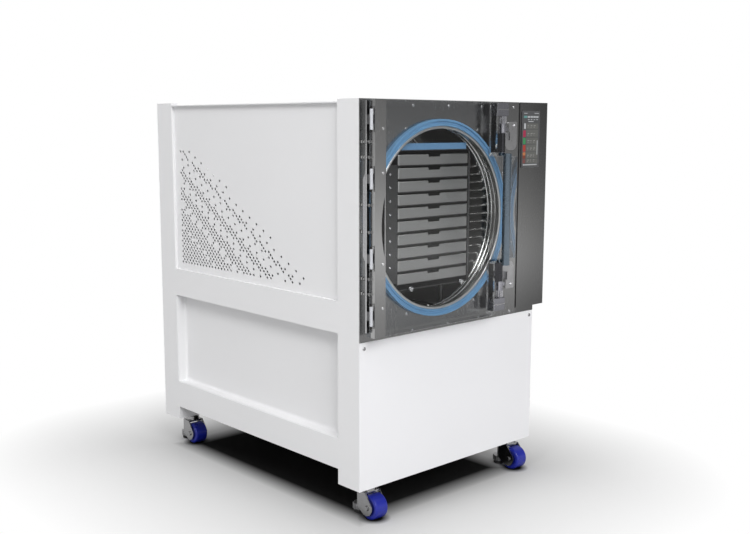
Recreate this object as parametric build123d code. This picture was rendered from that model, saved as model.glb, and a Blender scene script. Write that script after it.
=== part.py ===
"""Floor-standing freeze dryer: cabinet on levelling casters, round vacuum chamber, clear hinged door.

Working frame while modelling: X to the right from the cabinet's left face, Y backwards from the
front face of the fascia, Z upwards from the floor. Every piece is shifted on export so that the
origin is the bottom centre of the whole machine's bounding box. All lengths are in millimetres.
"""
from build123d import *
import math
import os

# ---------------------------------------------------------------- driving dimensions
CAB_W, CAB_D, POST_H = 732.0, 1008.0, 1060.0     # cabinet width, depth and post height
LIFT = 108.0                                     # underside of the posts above the floor
TOP = LIFT + POST_H
SHEET = 3.0                                      # folded sheet of the frame

POST_W, POST_X = 87.0, 24.0                      # post width along Y, depth along X
FRONT_POST = (SHEET, SHEET + POST_W)
REAR_POST = (CAB_D - POST_W - 1.0, CAB_D)
BOTTOM_RAIL = (LIFT + 44.0, LIFT + 131.0)
MIDDLE_RAIL = (LIFT + 429.0, LIFT + 518.0)
TOP_RAIL = (LIFT + 1010.0, LIFT + 1050.0)
FASCIA_RAIL = (LIFT + 385.0, LIFT + 440.0)       # cross member behind the fascia's lower edge
CROSS_FRONT_Y, CROSS_REAR_Y = (SHEET, 28.0), (CAB_D - 24.0, CAB_D - 4.0)
SUPPORT_Y, SUPPORT_H = (640.0, 670.0), 30.0      # cross member under the chamber's back
SADDLE_DX, SADDLE_W, SADDLE_H = 110.0, 36.0, 60.0
RECESS_X, RECESS_R, PAN_T = (34.0, 36.0), 9.0, 1.6
REAR_Y, LID_Z = (CAB_D - 4.0, CAB_D - 2.0), (LIFT + 1050.0, LIFT + 1053.0)
LOUVRE_H, LOUVRE_PITCH = 8.0, 20.0
PANEL_SCREWS = ((16.0, LIFT + 398.0), (CAB_W - 16.0, LIFT + 400.0))

FASCIA_W, FASCIA_T = 782.0, 3.0
FASCIA_Z = (LIFT + 415.0, TOP)
STEP_Z = LIFT + 430.0                            # underside of the part that overhangs the cabinet
SLOT_X, SLOT_Z = (643.0, 649.5), LIFT + 432.0    # shadow gap between door side and control side
SCREW_HEAD_R, SCREW_SHANK_R, SCREW_HEAD_T = 4.0, 2.1, 2.0
PANEL_HEAD_R, PANEL_SHANK_R, PANEL_HEAD_T = 5.5, 3.1, 1.6
BOLT_R = 3.0                                     # bolts of hinge and keepers

CHAMBER_X, CHAMBER_Z = 299.0, LIFT + 732.0       # chamber axis, parallel to Y
MOUTH_R = 250.0
LIP_T, LIP_OUT, LIP_GAP = 8.0, 11.0, 0.1         # steel lip that lines the chamber mouth
VESSEL_R, VESSEL_T, VESSEL_D = 268.0, 2.5, 620.0
FLANGE_R, FLANGE_T = 274.0, 1.5
LAGGING_R, LAGGING_Y = 285.0, (95.0, 640.0)
GASKET_R, GASKET_T, GASKET_BASE, GASKET_STEP = 276.5, 12.7, 8.0, 2.2
OUTLET_R, OUTLET_BORE, OUTLET_L = 14.0, 11.0, 30.0

COIL_R, COIL_TUBE_R, COIL_PITCH = 261.5, 4.75, 14.5
COIL_GROUPS, COIL_RINGS = (14.5, 250.0, 480.0), 3
RUNGS, RUNG_R, RUNG_PITCH = 13, 3.0, 23.8        # short cross tubes beside the rack
POST_AT, RUNG_Y, RUNG_Z = 494.0, 68.0, LIFT + 584.0
POST_T, POST_D, POST_OVER = 4.0, 8.0, 8.0        # bar that carries the rungs

RACK_X, RACK_Y = (158.0, 444.0), (22.0, 560.0)
RACK_Z = (LIFT + 535.0, LIFT + 924.0)
TRAYS, TRAY_PITCH, TRAY_H, TRAY_D = 10, 36.6, 27.0, 478.0
TRAY_TOP = LIFT + 910.0
TRAY_GAP, TRAY_T, SHELF_T = 2.0, 1.2, 3.0
TRAY_R, NOTCH_W, NOTCH_H = 4.0, 46.0, 6.0        # corner rounding and finger notch of a tray
RACK_T, FLANGE_LEFT, FLANGE_RIGHT = 2.0, 41.0, 8.0
RACK_FEET, RACK_FOOT_R, KNOBS, KNOB_R = (214.0, 384.0), 6.0, (208.0, 416.0), 6.5
STRIP_X, STRIP_H = (170.0, 432.0), 18.0

DOOR_Z = (LIFT + 434.0, LIFT + 1057.0)
PANE_X, PANE_Y = (12.0, 586.0), (-46.0, -13.0)
NOTCH_X, NOTCH_Z = 494.0, (LIFT + 598.0, LIFT + 902.0)
STILE_X, STILE_T, STILE_Y = (10.0, 49.0), 2.0, (-48.0, -33.0)
HINGE_AXIS = (3.0, -42.0)
HINGE_MID_Z = LIFT + 750.0
KNUCKLE_Z = (-256.0, -104.0, 104.0, 256.0)       # knuckle centres from the middle of the door
KNUCKLE_R, KNUCKLE_H, PIN_R = 4.2, 53.0, 2.4
LUG_R, LUG_H, LUG_GAP = 4.0, 6.0, 0.4
BOLT_Z = (-199.0, -159.0, -35.5, 35.5, 159.0, 199.0)
LATCH_AXIS = (533.0, -29.5)
LATCH_BARREL, LATCH_COLLAR, LATCH_END = (163.0, 219.0), (219.4, 267.6), (268.0, 305.0)
LATCH_ARM = (153.5, 161.5)                       # heights are above and below the middle of the door
SHAFT_R, COLLAR_R, BARREL_R, RIB_R, RIBS_FROM = 6.0, 11.0, 9.5, 1.6, 246.0
HANDLE_X, HANDLE_Y, HANDLE_R = 493.0, -85.0, 12.0
PLATE_Y, BOSS_Y, PLATE_X = (-27.0, -22.0), (-22.0, -13.0), (0.0, 9.0)
HINGE_BOLT_X, SPRING_R, BOLT_ACROSS, BOLT_HEAD = 5.0, 4.9, 8.0, 5.0
KEEPER_X, KEEPER_NECK, KEEPER_T, KEEPER_Z = (576.0, 630.0), 592.0, 5.0, (168.0, 220.0, 252.0)
KEEPER_BOLT, KEEPER_LUG, KEEPER_LUG_X = (619.0, 240.0), (198.0, 222.0), (584.0, 589.0)

SCREEN_X, SCREEN_Z = (658.0, 742.0), (LIFT + 863.0, LIFT + 1035.0)
SCREEN_PROUD, SCREEN_BACK = 3.0, 34.0
SCREEN_CUT = ((SCREEN_X[0] + 8.0, 705.0), (SCREEN_Z[0] + 8.0, TOP_RAIL[0] - 2.0))
HOUSING_T, HOUSING_D = 2.0, 96.0

WHEEL_R, WHEEL_W, AXLE_R = 35.0, 44.0, 4.0
STEM_R, RUN_CLEARANCE = 8.0, 0.05
TRAIL, FOOT_BACK = 30.0, -34.0                   # wheel and levelling foot from the swivel axis
CASTER_X, CASTER_Y = (90.0, CAB_W - 27.0), (68.0, CAB_D - 23.0)
CASTER_TURN = -92.0                              # direction of the wheel from the swivel, degrees
PAD_X, PAD_T, GUSSET_X = 130.0, 6.0, 85.0        # welded pad above each caster, gusset at the rear
YOKE_Z, CHEEK_T, CHEEK_GAP = (71.5, 77.5), 4.0, 2.0
YOKE_FRONT, YOKE_REAR = 22.0, -12.0
RACE = ((24.0, 90.0), (19.0, LIFT - 6.0), (21.5, LIFT - 0.4))   # radius and top of each turned step
PAD_R, DIAL_R, SCREW_R = 16.0, 20.0, 6.0         # rubber pad, star wheel and screw of a foot
PAD_Z, DIAL_Z, SCREW_TOP = (0.0, 8.0), (11.0, 28.0), 86.0
STAR_POINTS, STAR_R = 8, 5.0

PORT_R, PORT_BORE, PORT_FLANGE_R, PORT_OUT = 14.0, 12.0, 20.0, 34.0
DRAIN_R, DRAIN_BORE, DRAIN_OUT = 7.0, 4.5, 30.0
INLET = (24.0, 14.0)                             # half width and half height of the mains inlet
FAN_X, FAN_Z, FAN_R = 520.0, LIFT + 240.0, 120.0
COIL_HALF, HUB_R, SPINDLE_R, BLADES = 140.0, 28.0, 4.0, 5
COMPRESSOR, COMPRESSOR_R = (190.0, 620.0), 82.0
DECK = BOTTOM_RAIL[0] + SHEET                    # top of the floor sheet
VACUUM_PORT, DRAIN_PORT, POWER_INLET = (150.0, LIFT + 470.0), (250.0, LIFT + 150.0), (150.0, LIFT + 250.0)
OUTLET = (VACUUM_PORT[0], VACUUM_PORT[1] + 160.0)

VENT_Y, VENT_Z = (FRONT_POST[1], REAR_POST[0]), (MIDDLE_RAIL[1], LIFT + 1049.9)
VENT_X = (POST_X / 2 - 2.0, POST_X / 2)
HOLE, HOLE_STEP = 5.4, 8.6                       # half diagonal of a hole, half pitch of the grid
VENT_COLUMNS, VENT_ROWS = 78, 46
CLIMB, BAND, CLIMB_END = 0.62, 9, 52             # slope, width and end of the chevron bands

ORIGIN = ((HINGE_AXIS[0] - KNUCKLE_R + FASCIA_W) / 2, (HANDLE_Y - HANDLE_R + CAB_D + PORT_OUT) / 2, 0.0)


# ---------------------------------------------------------------- small helpers
def block(x, y, z):
    """A box between three (low, high) pairs."""
    size = [high - low for low, high in (x, y, z)]
    middle = [(low + high) / 2 for low, high in (x, y, z)]
    return Pos(*middle) * Box(*size)


def upright(x, y, radius, z):
    """A vertical cylinder between two heights."""
    return Pos(x, y, (z[0] + z[1]) / 2) * Cylinder(radius, z[1] - z[0])


def level(x, z, radius, y):
    """A cylinder along Y between two depths."""
    return Pos(x, (y[0] + y[1]) / 2, z) * Rot(90, 0, 0) * Cylinder(radius, y[1] - y[0])


def lengthwise(y, z, radius, x):
    """A cylinder along X between two places."""
    return Pos((x[0] + x[1]) / 2, y, z) * Rot(0, 90, 0) * Cylinder(radius, x[1] - x[0])


def side_plate(points, x):
    """An outline in the YZ plane, as thick as the pair x."""
    face = make_face(Polyline(*points, close=True))
    return extrude(Pos(x[0], 0, 0) * Plane.YZ.location * face, x[1] - x[0])


def front_plate(points, y):
    """An outline in the XZ plane, as thick as the pair y."""
    face = make_face(Polyline(*points, close=True))
    return extrude(Pos(0, y[1], 0) * Rot(90, 0, 0) * face, y[1] - y[0])


def hexagon_bolt(x, z, y_seat, across, head):
    """A hexagon head that stands forward from y_seat."""
    outline = RegularPolygon(across / math.sqrt(3), 6)
    return Pos(x, y_seat, z) * Rot(90, 0, 0) * extrude(outline, head)


def mirrored(shape):
    """The same piece on the cabinet's right side."""
    return Pos(CAB_W, 0, 0) * mirror(shape, Plane.YZ)


def joined(shapes):
    """One solid from pieces that touch or overlap."""
    first, *rest = shapes
    return first.fuse(*rest).clean() if rest else first


PIECES = {}


def keep(name, shape):
    """Names a finished piece."""
    PIECES[name] = shape


# ---------------------------------------------------------------- cabinet
def channel(x, y, z, open_y, open_z):
    """A folded channel whose open side faces the middle of the cabinet."""
    outer = block(x, y, z)
    inner_y = (y[0] + (SHEET if open_y else -1), y[1] - (SHEET if open_y else -1))
    inner_z = (z[0] + (SHEET if open_z else -1), z[1] - (SHEET if open_z else -1))
    return outer - block((x[0] + SHEET, x[1] + 1), inner_y, inner_z)


def caster_axes():
    """Swivel axes by position name."""
    return {f"{row}_{side}": (x, y) for row, y in zip(("front", "rear"), CASTER_Y)
            for side, x in zip(("left", "right"), CASTER_X)}


def side_posts():
    """The two posts of the left side."""
    return [channel((0, POST_X), y, (LIFT, TOP), True, True) for y in (FRONT_POST, REAR_POST)]


def side_rails():
    """The rails between the left side's posts."""
    between = (FRONT_POST[1], REAR_POST[0])
    rails = [channel((0, POST_X), between, z, False, True) for z in (BOTTOM_RAIL, MIDDLE_RAIL)]
    return rails + [block((POST_X / 2, POST_X), between, TOP_RAIL)]


def cross_members():
    """Bars from side to side and the floor sheet."""
    across = (POST_X, CAB_W - POST_X)
    cross = [block(across, CROSS_REAR_Y, z) for z in (BOTTOM_RAIL, TOP_RAIL)]
    cross += [block(across, CROSS_FRONT_Y, z) for z in (BOTTOM_RAIL, FASCIA_RAIL, TOP_RAIL)]
    cross.append(block(across, SUPPORT_Y, (MIDDLE_RAIL[0], MIDDLE_RAIL[0] + SUPPORT_H)))
    floor = block((SHEET, CAB_W - SHEET), (SHEET, CAB_D - SHEET), (BOTTOM_RAIL[0], BOTTOM_RAIL[0] + SHEET))
    return cross + [floor]


def saddles():
    """Two bearers hollowed to the chamber's lagging."""
    bed = level(CHAMBER_X, CHAMBER_Z, LAGGING_R, (0, CAB_D))
    half = SADDLE_W / 2
    z = (MIDDLE_RAIL[0], MIDDLE_RAIL[0] + SADDLE_H)
    return [block((x - half, x + half), (CROSS_FRONT_Y[1], SUPPORT_Y[0]), z) - bed
            for x in (CHAMBER_X - SADDLE_DX, CHAMBER_X + SADDLE_DX)]


def caster_pads():
    """Plates over the casters and the rear gussets."""
    pads = []
    for post in (FRONT_POST, REAR_POST):
        pads.append(block((0, PAD_X), post, (LIFT, LIFT + PAD_T)))
        pads.append(block((CAB_W - PAD_X, CAB_W), post, (LIFT, LIFT + PAD_T)))
    gusset = block((0, GUSSET_X), (REAR_POST[0], REAR_POST[0] + SHEET), (LIFT, BOTTOM_RAIL[0] + 1))
    return pads + [gusset, mirrored(gusset)]


def make_frame():
    posts, rails = side_posts(), side_rails()
    posts += [mirrored(post) for post in posts]
    rails += [mirrored(rail) for rail in rails]
    cross = joined(cross_members() + caster_pads() + saddles()).cut(*posts, *rails)
    stems = [upright(x, y, STEM_R + RUN_CLEARANCE, (LIFT - 1, LIFT + 40)) for x, y in caster_axes().values()]
    keep("side_posts", Compound([post.cut(*stems) for post in posts]))
    keep("side_rails", Compound(rails))
    keep("cross_frame", cross.cut(*stems))


def vent_holes():
    """Centres of the diamond holes: nested chevrons that thin out towards the front and the top."""
    for row in range(2, VENT_ROWS):
        for column in range(2, VENT_COLUMNS):
            if (row + column) % 2:
                continue
            climb = row + CLIMB * column
            fade = int(climb // BAND)
            thinned = fade and (column + 2 * row) % (fade + 1) and climb % BAND > BAND - 1.5 * fade
            if climb > CLIMB_END or thinned:
                continue
            yield VENT_Y[1] - 16 - column * HOLE_STEP, VENT_Z[0] + 8 + row * HOLE_STEP


def make_side_panels():
    outline = Rectangle(VENT_Y[1] - VENT_Y[0], VENT_Z[1] - VENT_Z[0])
    middle = ((VENT_Y[0] + VENT_Y[1]) / 2, (VENT_Z[0] + VENT_Z[1]) / 2)
    diamond = Wire(Polyline((HOLE, 0), (0, HOLE), (-HOLE, 0), (0, -HOLE), close=True).edges())
    holes = [Pos(y - middle[0], z - middle[1]) * diamond for y, z in vent_holes()]
    sheet = Face(outline.face().outer_wire(), holes)
    panel = extrude(Pos(VENT_X[0], *middle) * Plane.YZ.location * sheet, VENT_X[1] - VENT_X[0])
    keep("vent_panel_left", panel)
    keep("vent_panel_right", mirrored(panel))


def make_lower_panels():
    y, z = (FRONT_POST[1], REAR_POST[0]), (BOTTOM_RAIL[1], MIDDLE_RAIL[0])
    pan = block((SHEET, RECESS_X[1]), y, z)
    cavity = block((-POST_X, RECESS_X[0]), (y[0] + PAN_T, y[1] - PAN_T), (z[0] + PAN_T, z[1] - PAN_T))
    pan -= fillet(cavity.faces().sort_by(Axis.X)[-1].edges(), RECESS_R)
    keep("lower_panel_left", pan)
    keep("lower_panel_right", mirrored(pan))



def louvres(x, base, count):
    """A stack of level slots through the rear panel."""
    half = LOUVRE_H / 2
    steps = [base + row * LOUVRE_PITCH for row in range(count)]
    return [block(x, (REAR_Y[0] - 1, REAR_Y[1] + 1), (z - half, z + half)) for z in steps]


def make_rear_panel():
    through = (REAR_Y[0] - 1, REAR_Y[1] + 1)
    rear = block((POST_X, CAB_W - POST_X), REAR_Y, (BOTTOM_RAIL[0] + SHEET, LID_Z[0]))
    rear -= louvres((FAN_X - FAN_R, FAN_X + FAN_R), FAN_Z - 110, 12)
    rear -= louvres((180, CAB_W - 180), LIFT + 820, 8)
    for (x, z), radius in ((VACUUM_PORT, PORT_R + 2), (DRAIN_PORT, DRAIN_R + 2)):
        rear -= level(x, z, radius, through)
    x, z = POWER_INLET
    rear -= block((x - INLET[0], x + INLET[0]), through, (z - INLET[1], z + INLET[1]))
    keep("rear_panel", rear)


def make_top_and_front():
    lid = block((0, CAB_W), (SHEET, CAB_D), LID_Z)
    for x in ((-1, POST_X), (CAB_W - POST_X, CAB_W + 1)):
        for y in (FRONT_POST, (REAR_POST[0], CAB_D + 1)):
            lid -= block(x, (y[0] - 1, y[1]), (LID_Z[0] - 1, LID_Z[1] + 1))
    keep("top_panel", lid)

    front = block((0, CAB_W), (1, SHEET), (LIFT, FASCIA_Z[0]))
    for x, z in PANEL_SCREWS:
        front -= level(x, z, PANEL_SHANK_R, (0, SHEET + 1))
    keep("front_lower_panel", front)


# ---------------------------------------------------------------- fascia, controls
def fascia_screw_places():
    """Rows along the top and bottom edge, four round the chamber mouth, two low on the right."""
    rows = [(x, FASCIA_Z[1] - 15) for x in (195, 336, 475, 619)]
    rows += [(x, FASCIA_Z[0] + 10) for x in (54, 197, 342, 475, 619)]
    ring = [(CHAMBER_X + dx, CHAMBER_Z + dz)
            for dx, dz in ((-131, 250.5), (158, 246), (-125, -259), (153, -252))]
    return rows + ring + [(573, LIFT + 850), (619, LIFT + 640)]


def make_fascia():
    through = (-1, FASCIA_T + 1)
    plate = front_plate(
        [(0, FASCIA_Z[0]), (CAB_W, FASCIA_Z[0]), (CAB_W, STEP_Z), (FASCIA_W, STEP_Z), (FASCIA_W, TOP),
         (0, TOP)], (0, FASCIA_T))
    plate -= level(CHAMBER_X, CHAMBER_Z, MOUTH_R + LIP_T + LIP_GAP, through)
    plate -= block(SLOT_X, through, (SLOT_Z, TOP + 1))
    plate -= block(SCREEN_CUT[0], through, SCREEN_CUT[1])
    for x, z in fascia_screw_places():
        plate -= level(x, z, SCREW_SHANK_R, through)
    for dz in BOLT_Z:
        plate -= level(HINGE_BOLT_X, HINGE_MID_Z + dz, BOLT_R, through)
    for dz in (-KEEPER_BOLT[1], KEEPER_BOLT[1]):
        plate -= level(KEEPER_BOLT[0], HINGE_MID_Z + dz, BOLT_R, through)
    keep("fascia_plate", plate)


def pan_head(x, z, radius, y):
    """A low round screw head, eased at the front."""
    return fillet(level(x, z, radius, y).faces().sort_by(Axis.Y)[0].edges(), 1.2)


def make_front_screws():
    heads = []
    for x, z in fascia_screw_places():
        head = pan_head(x, z, SCREW_HEAD_R, (-SCREW_HEAD_T, 0))
        heads.append(head + level(x, z, SCREW_SHANK_R, (0, FASCIA_T)))
    for x, z in PANEL_SCREWS:
        head = pan_head(x, z, PANEL_HEAD_R, (-PANEL_HEAD_T, 1))
        heads.append(head + level(x, z, PANEL_SHANK_R, (1, SHEET)))
    keep("front_screws", Compound(heads))


def make_controls():
    shell = block((CAB_W, FASCIA_W), (FASCIA_T, HOUSING_D), (STEP_Z, TOP))
    shell -= block((CAB_W - 1, FASCIA_W - HOUSING_T), (FASCIA_T - 1, HOUSING_D - HOUSING_T),
                   (STEP_Z + HOUSING_T, TOP - HOUSING_T))
    keep("control_housing", shell)

    glass = fillet(block(SCREEN_X, (-SCREEN_PROUD, 0), SCREEN_Z).edges().filter_by(Axis.Y), 4)
    glass += block(SCREEN_CUT[0], (0, SCREEN_BACK), SCREEN_CUT[1])
    keep("control_screen", glass)

    board = block((CAB_W + 6, CAB_W + 8), (14, 84), (LIFT + 520, LIFT + 800))
    board += block((CAB_W + 8, CAB_W + 26), (24, 54), (LIFT + 560, LIFT + 610))
    board += block((CAB_W + 8, CAB_W + 20), (24, 74), (LIFT + 660, LIFT + 760))
    for y in (20, 78):
        for z in (LIFT + 530, LIFT + 790):
            board += lengthwise(y, z, 3, (CAB_W, CAB_W + 6))
    keep("control_board", board)


# ---------------------------------------------------------------- vacuum chamber and what it holds
def ring(radius, y, tube):
    """A torus round the chamber axis."""
    return Pos(CHAMBER_X, y, CHAMBER_Z) * Rot(90, 0, 0) * Torus(radius, tube)


def make_vessel():
    outer = level(CHAMBER_X, CHAMBER_Z, VESSEL_R + VESSEL_T, (FASCIA_T + FLANGE_T, VESSEL_D))
    inner = level(CHAMBER_X, CHAMBER_Z, VESSEL_R, (0, VESSEL_D - VESSEL_T))
    flange = level(CHAMBER_X, CHAMBER_Z, FLANGE_R, (FASCIA_T, FASCIA_T + FLANGE_T))
    flange += level(CHAMBER_X, CHAMBER_Z, MOUTH_R + LIP_T, (-LIP_OUT, FASCIA_T))
    flange -= level(CHAMBER_X, CHAMBER_Z, MOUTH_R, (-LIP_OUT - 1, FASCIA_T + FLANGE_T + 1))
    flange = fillet(flange.faces().sort_by(Axis.Y)[0].edges(), LIP_T * 0.4)
    outlet = level(*OUTLET, OUTLET_R, (VESSEL_D - 2, VESSEL_D + OUTLET_L))
    vessel = joined([outer - inner, flange, outlet])
    vessel -= level(*OUTLET, OUTLET_BORE, (VESSEL_D - 9, VESSEL_D + OUTLET_L + 1))
    keep("chamber_vessel", vessel)

    lagging = level(CHAMBER_X, CHAMBER_Z, LAGGING_R, LAGGING_Y)
    lagging -= level(CHAMBER_X, CHAMBER_Z, VESSEL_R + VESSEL_T, (0, VESSEL_D))
    lagging -= level(*OUTLET, OUTLET_R + 2, (VESSEL_D - 2, LAGGING_Y[1] + 1))
    keep("chamber_lagging", lagging)


def make_gasket():
    """Seal with a tall outer lip and a lower inner one."""
    inner_r, low = MOUTH_R + LIP_T + 2 * LIP_GAP, GASKET_STEP - GASKET_T
    profile = [(inner_r, 0), (GASKET_R, 0), (GASKET_R, -GASKET_T), (GASKET_R - 5, -GASKET_T),
               (GASKET_R - 7, -GASKET_BASE), (inner_r + 7, -GASKET_BASE), (inner_r + 5, low), (inner_r, low)]
    seal = revolve(make_face(Polyline(*profile, close=True)), Axis.Y)
    keep("chamber_gasket", Pos(CHAMBER_X, 0, CHAMBER_Z) * seal)


def make_rungs():
    """The upright bar beside the rack and the short tubes from it to the wall."""
    rungs = []
    for step in range(RUNGS):
        z = RUNG_Z + step * RUNG_PITCH
        chord = math.sqrt((VESSEL_R - LIP_GAP) ** 2 - (abs(z - CHAMBER_Z) + RUNG_R) ** 2)
        rungs.append(lengthwise(RUNG_Y, z, RUNG_R, (POST_AT, CHAMBER_X + chord)))
    last = RUNG_Z + (RUNGS - 1) * RUNG_PITCH
    post = block((POST_AT - POST_T + 1, POST_AT + 1), (RUNG_Y - POST_D / 2, RUNG_Y + POST_D / 2),
                 (RUNG_Z - POST_OVER, last + POST_OVER))
    return joined([post] + rungs)


def make_coil():
    rings = [ring(COIL_R, start + COIL_PITCH * turn, COIL_TUBE_R)
             for start in COIL_GROUPS for turn in range(COIL_RINGS)]
    header_z = CHAMBER_Z - COIL_R + 2 * COIL_TUBE_R + LIP_GAP
    header = level(CHAMBER_X, header_z, COIL_TUBE_R, (COIL_GROUPS[0], VESSEL_D - VESSEL_T))
    keep("evaporator_coil", Compound(rings + [header, make_rungs()]))


def tray_tops():
    """Heights of the trays' rims, from the top tray down."""
    return [TRAY_TOP - TRAY_PITCH * index for index in range(TRAYS)]


def make_rack():
    x, y, z = RACK_X, RACK_Y, RACK_Z
    front, over = (y[0], y[0] + RACK_T), (x[0] - RACK_T, x[1] + RACK_T)
    rack = [block((over[0], x[0]), y, z), block((x[1], over[1]), y, z),
            block(over, y, (z[0], z[0] + SHELF_T)), block(over, y, (z[1] - SHELF_T, z[1])),
            block((x[0] - FLANGE_LEFT, x[0]), front, (z[0] + 22, z[1] - 40)),
            block((x[1], x[1] + FLANGE_RIGHT), front, z)]
    bore = level(CHAMBER_X, CHAMBER_Z, VESSEL_R - 0.02, (0, VESSEL_D))
    for foot_x in RACK_FEET:
        for foot_y in (y[0] + 48, y[1] - 15):
            rack.append(upright(foot_x, foot_y, RACK_FOOT_R, (LIFT + 460, z[0])) & bore)
    for knob_x in KNOBS:
        rack.append(level(knob_x, z[0] + 2, KNOB_R, (y[0] - 9, y[0] + 3)))
    frame = joined(rack)
    for top in tray_tops()[1:9]:
        frame -= level(x[0] - 27, top - 14, SCREW_SHANK_R, (y[0] - 1, y[0] + 3))
    keep("shelf_rack", frame)

    strip = block(STRIP_X, (y[0] - 2, y[0] + 4), (z[1], z[1] + STRIP_H))
    keep("rack_top_strip", fillet(strip.edges().filter_by(Axis.Y), 2))


def make_trays():
    x, y = RACK_X, RACK_Y

    shelves = [block(x, (y[0] + 5, y[1] - 20), (top - TRAY_H - SHELF_T, top - TRAY_H)) for top in tray_tops()]
    keep("heated_shelves", Compound(shelves))

    for number, top in enumerate(tray_tops(), 1):
        width = (x[0] + TRAY_GAP, x[1] - TRAY_GAP)
        depth = (y[0] - 1, y[0] - 1 + TRAY_D)
        tray = block(width, depth, (top - TRAY_H, top))
        tray = fillet(tray.edges().filter_by(Axis.Z), TRAY_R)
        cavity = block((width[0] + TRAY_T, width[1] - TRAY_T), (depth[0] + TRAY_T, depth[1] - TRAY_T),
                       (top - TRAY_H + TRAY_T, top + 1))
        tray -= fillet(cavity.edges().filter_by(Axis.Z), TRAY_R - TRAY_T)
        middle, half = (width[0] + width[1]) / 2, NOTCH_W / 2
        tray -= block((middle - half, middle + half), (depth[0] - 1, depth[0] + 5), (top - NOTCH_H, top + 1))
        keep(f"tray_{number:02d}", tray)


# ---------------------------------------------------------------- plant in the lower cabinet
def make_compressor():
    deck = DECK
    x, y = COMPRESSOR
    can = upright(x, y, COMPRESSOR_R, (deck + 18, deck + 228))
    can = fillet(can.edges().filter_by(GeomType.CIRCLE), 30)
    base = block((x - 95, x + 95), (y - 70, y + 70), (deck + 14, deck + 22))
    feet = [upright(x + dx, y + dy, 11, (deck, deck + 16)) for dx in (-80, 80) for dy in (-55, 55)]
    pipe = upright(x + 30, y, 6, (deck + 200, deck + 262))
    keep("compressor", joined([can, base, pipe] + feet))


def make_condenser():
    half = COIL_HALF
    core = block((FAN_X - half, FAN_X + half), (930, 968), (FAN_Z - half, FAN_Z + half))
    grooves = [block((FAN_X - 136 + 12 * i, FAN_X - 130 + 12 * i), (925, 933), (FAN_Z - 132, FAN_Z + 132))
               for i in range(23)]
    core = core.cut(*grooves)
    legs = [block((FAN_X + dx - 8, FAN_X + dx + 8), (935, 963), (DECK, FAN_Z - half)) for dx in (-120, 120)]
    bends = []
    for step in range(6):
        z = FAN_Z - 100 + 40 * step
        bends.append(lengthwise(949, z, 5, (FAN_X - half - 12, FAN_X - half)))
        bends.append(lengthwise(949, z, 5, (FAN_X + half, FAN_X + half + 12)))
    keep("condenser_coil", joined([core] + legs + bends))


def make_fan():
    half = COIL_HALF
    shroud = block((FAN_X - half, FAN_X + half), (880, 930), (FAN_Z - half, FAN_Z + half))
    shroud -= level(FAN_X, FAN_Z, FAN_R + 4, (870, 940))
    arms = [block((FAN_X - 130, FAN_X + 130), (882, 886), (FAN_Z - 5, FAN_Z + 5)),
            block((FAN_X - 5, FAN_X + 5), (882, 886), (FAN_Z - 130, FAN_Z + 130))]
    motor = level(FAN_X, FAN_Z, 36, (826, 886))
    spindle = level(FAN_X, FAN_Z, SPINDLE_R, (880, 922))
    keep("condenser_fan", joined([shroud, motor, spindle] + arms))

    hub = level(FAN_X, FAN_Z, HUB_R, (891, 921))
    hub -= level(FAN_X, FAN_Z, SPINDLE_R + RUN_CLEARANCE, (880, 940))
    blades = []
    for number in range(BLADES):
        blade = Rot(0, 0, 28) * Box(46, 2.4, FAN_R - HUB_R - 2)
        blade = Pos(0, 906, (FAN_R + HUB_R - 6) / 2) * blade
        blades.append(Pos(FAN_X, 0, FAN_Z) * Rot(0, 360 / BLADES * number, 0) * blade)
    keep("fan_blade", joined([hub] + blades))


def make_rear_fittings():
    """Vacuum port, barbed drain and mains inlet."""
    x, z = VACUUM_PORT
    port = level(x, z, PORT_R, (CAB_D - 40, CAB_D + PORT_OUT))
    port += level(x, z, PORT_FLANGE_R, (CAB_D + PORT_OUT - 3, CAB_D + PORT_OUT))
    port += level(x, z, PORT_FLANGE_R, (CAB_D - 2, CAB_D + 2))
    port -= level(x, z, PORT_BORE, (CAB_D - 41, CAB_D + PORT_OUT + 1))
    x, z = DRAIN_PORT
    drain = level(x, z, DRAIN_R, (CAB_D - 40, CAB_D + DRAIN_OUT)) + level(x, z, 13, (CAB_D - 2, CAB_D + 6))
    for step in range(3):
        drain += Pos(x, CAB_D + 12 + 7 * step, z) * Rot(-90, 0, 0) * Cone(DRAIN_R + 1.6, DRAIN_R, 5)
    drain -= level(x, z, DRAIN_BORE, (CAB_D - 41, CAB_D + DRAIN_OUT + 1))
    x, z = POWER_INLET
    wide, high = INLET
    inlet = block((x - wide, x + wide), (CAB_D - 32, CAB_D + 1), (z - high, z + high))
    inlet += block((x - wide - 6, x + wide + 6), (CAB_D - 2, CAB_D + 2), (z - high - 5, z + high + 5))
    socket = block((x - 16, x + 16), (CAB_D - 18, CAB_D + 3), (z - 10, z + 10))
    inlet -= fillet(socket.edges().filter_by(Axis.Y), 3)
    for dx, dz in ((0, 4), (-8, -4), (8, -4)):
        inlet += block((x + dx - 1, x + dx + 1), (CAB_D - 20, CAB_D - 4), (z + dz - 2.5, z + dz + 2.5))
    keep("rear_fittings", Compound([port, drain, inlet]))


# ---------------------------------------------------------------- door, its hinge and its latches
def spring_stack(z, seat):
    """A hinge bolt with its disc springs between the plate's seat and the fascia."""
    x = HINGE_BOLT_X
    bolt = level(x, z, BOLT_R, (PLATE_Y[0], FASCIA_T))
    bolt += hexagon_bolt(x, z, PLATE_Y[0], BOLT_ACROSS, BOLT_HEAD)
    bolt += level(x, z, SPRING_R - 1, (seat, 0))
    count = 3 if seat == BOSS_Y[1] else 5
    pitch = -seat / count
    for index in range(count):
        centre = seat + pitch * (index + 0.5)
        bolt += level(x, z, SPRING_R, (centre - pitch * 0.32, centre + pitch * 0.32))
    return bolt


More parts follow.
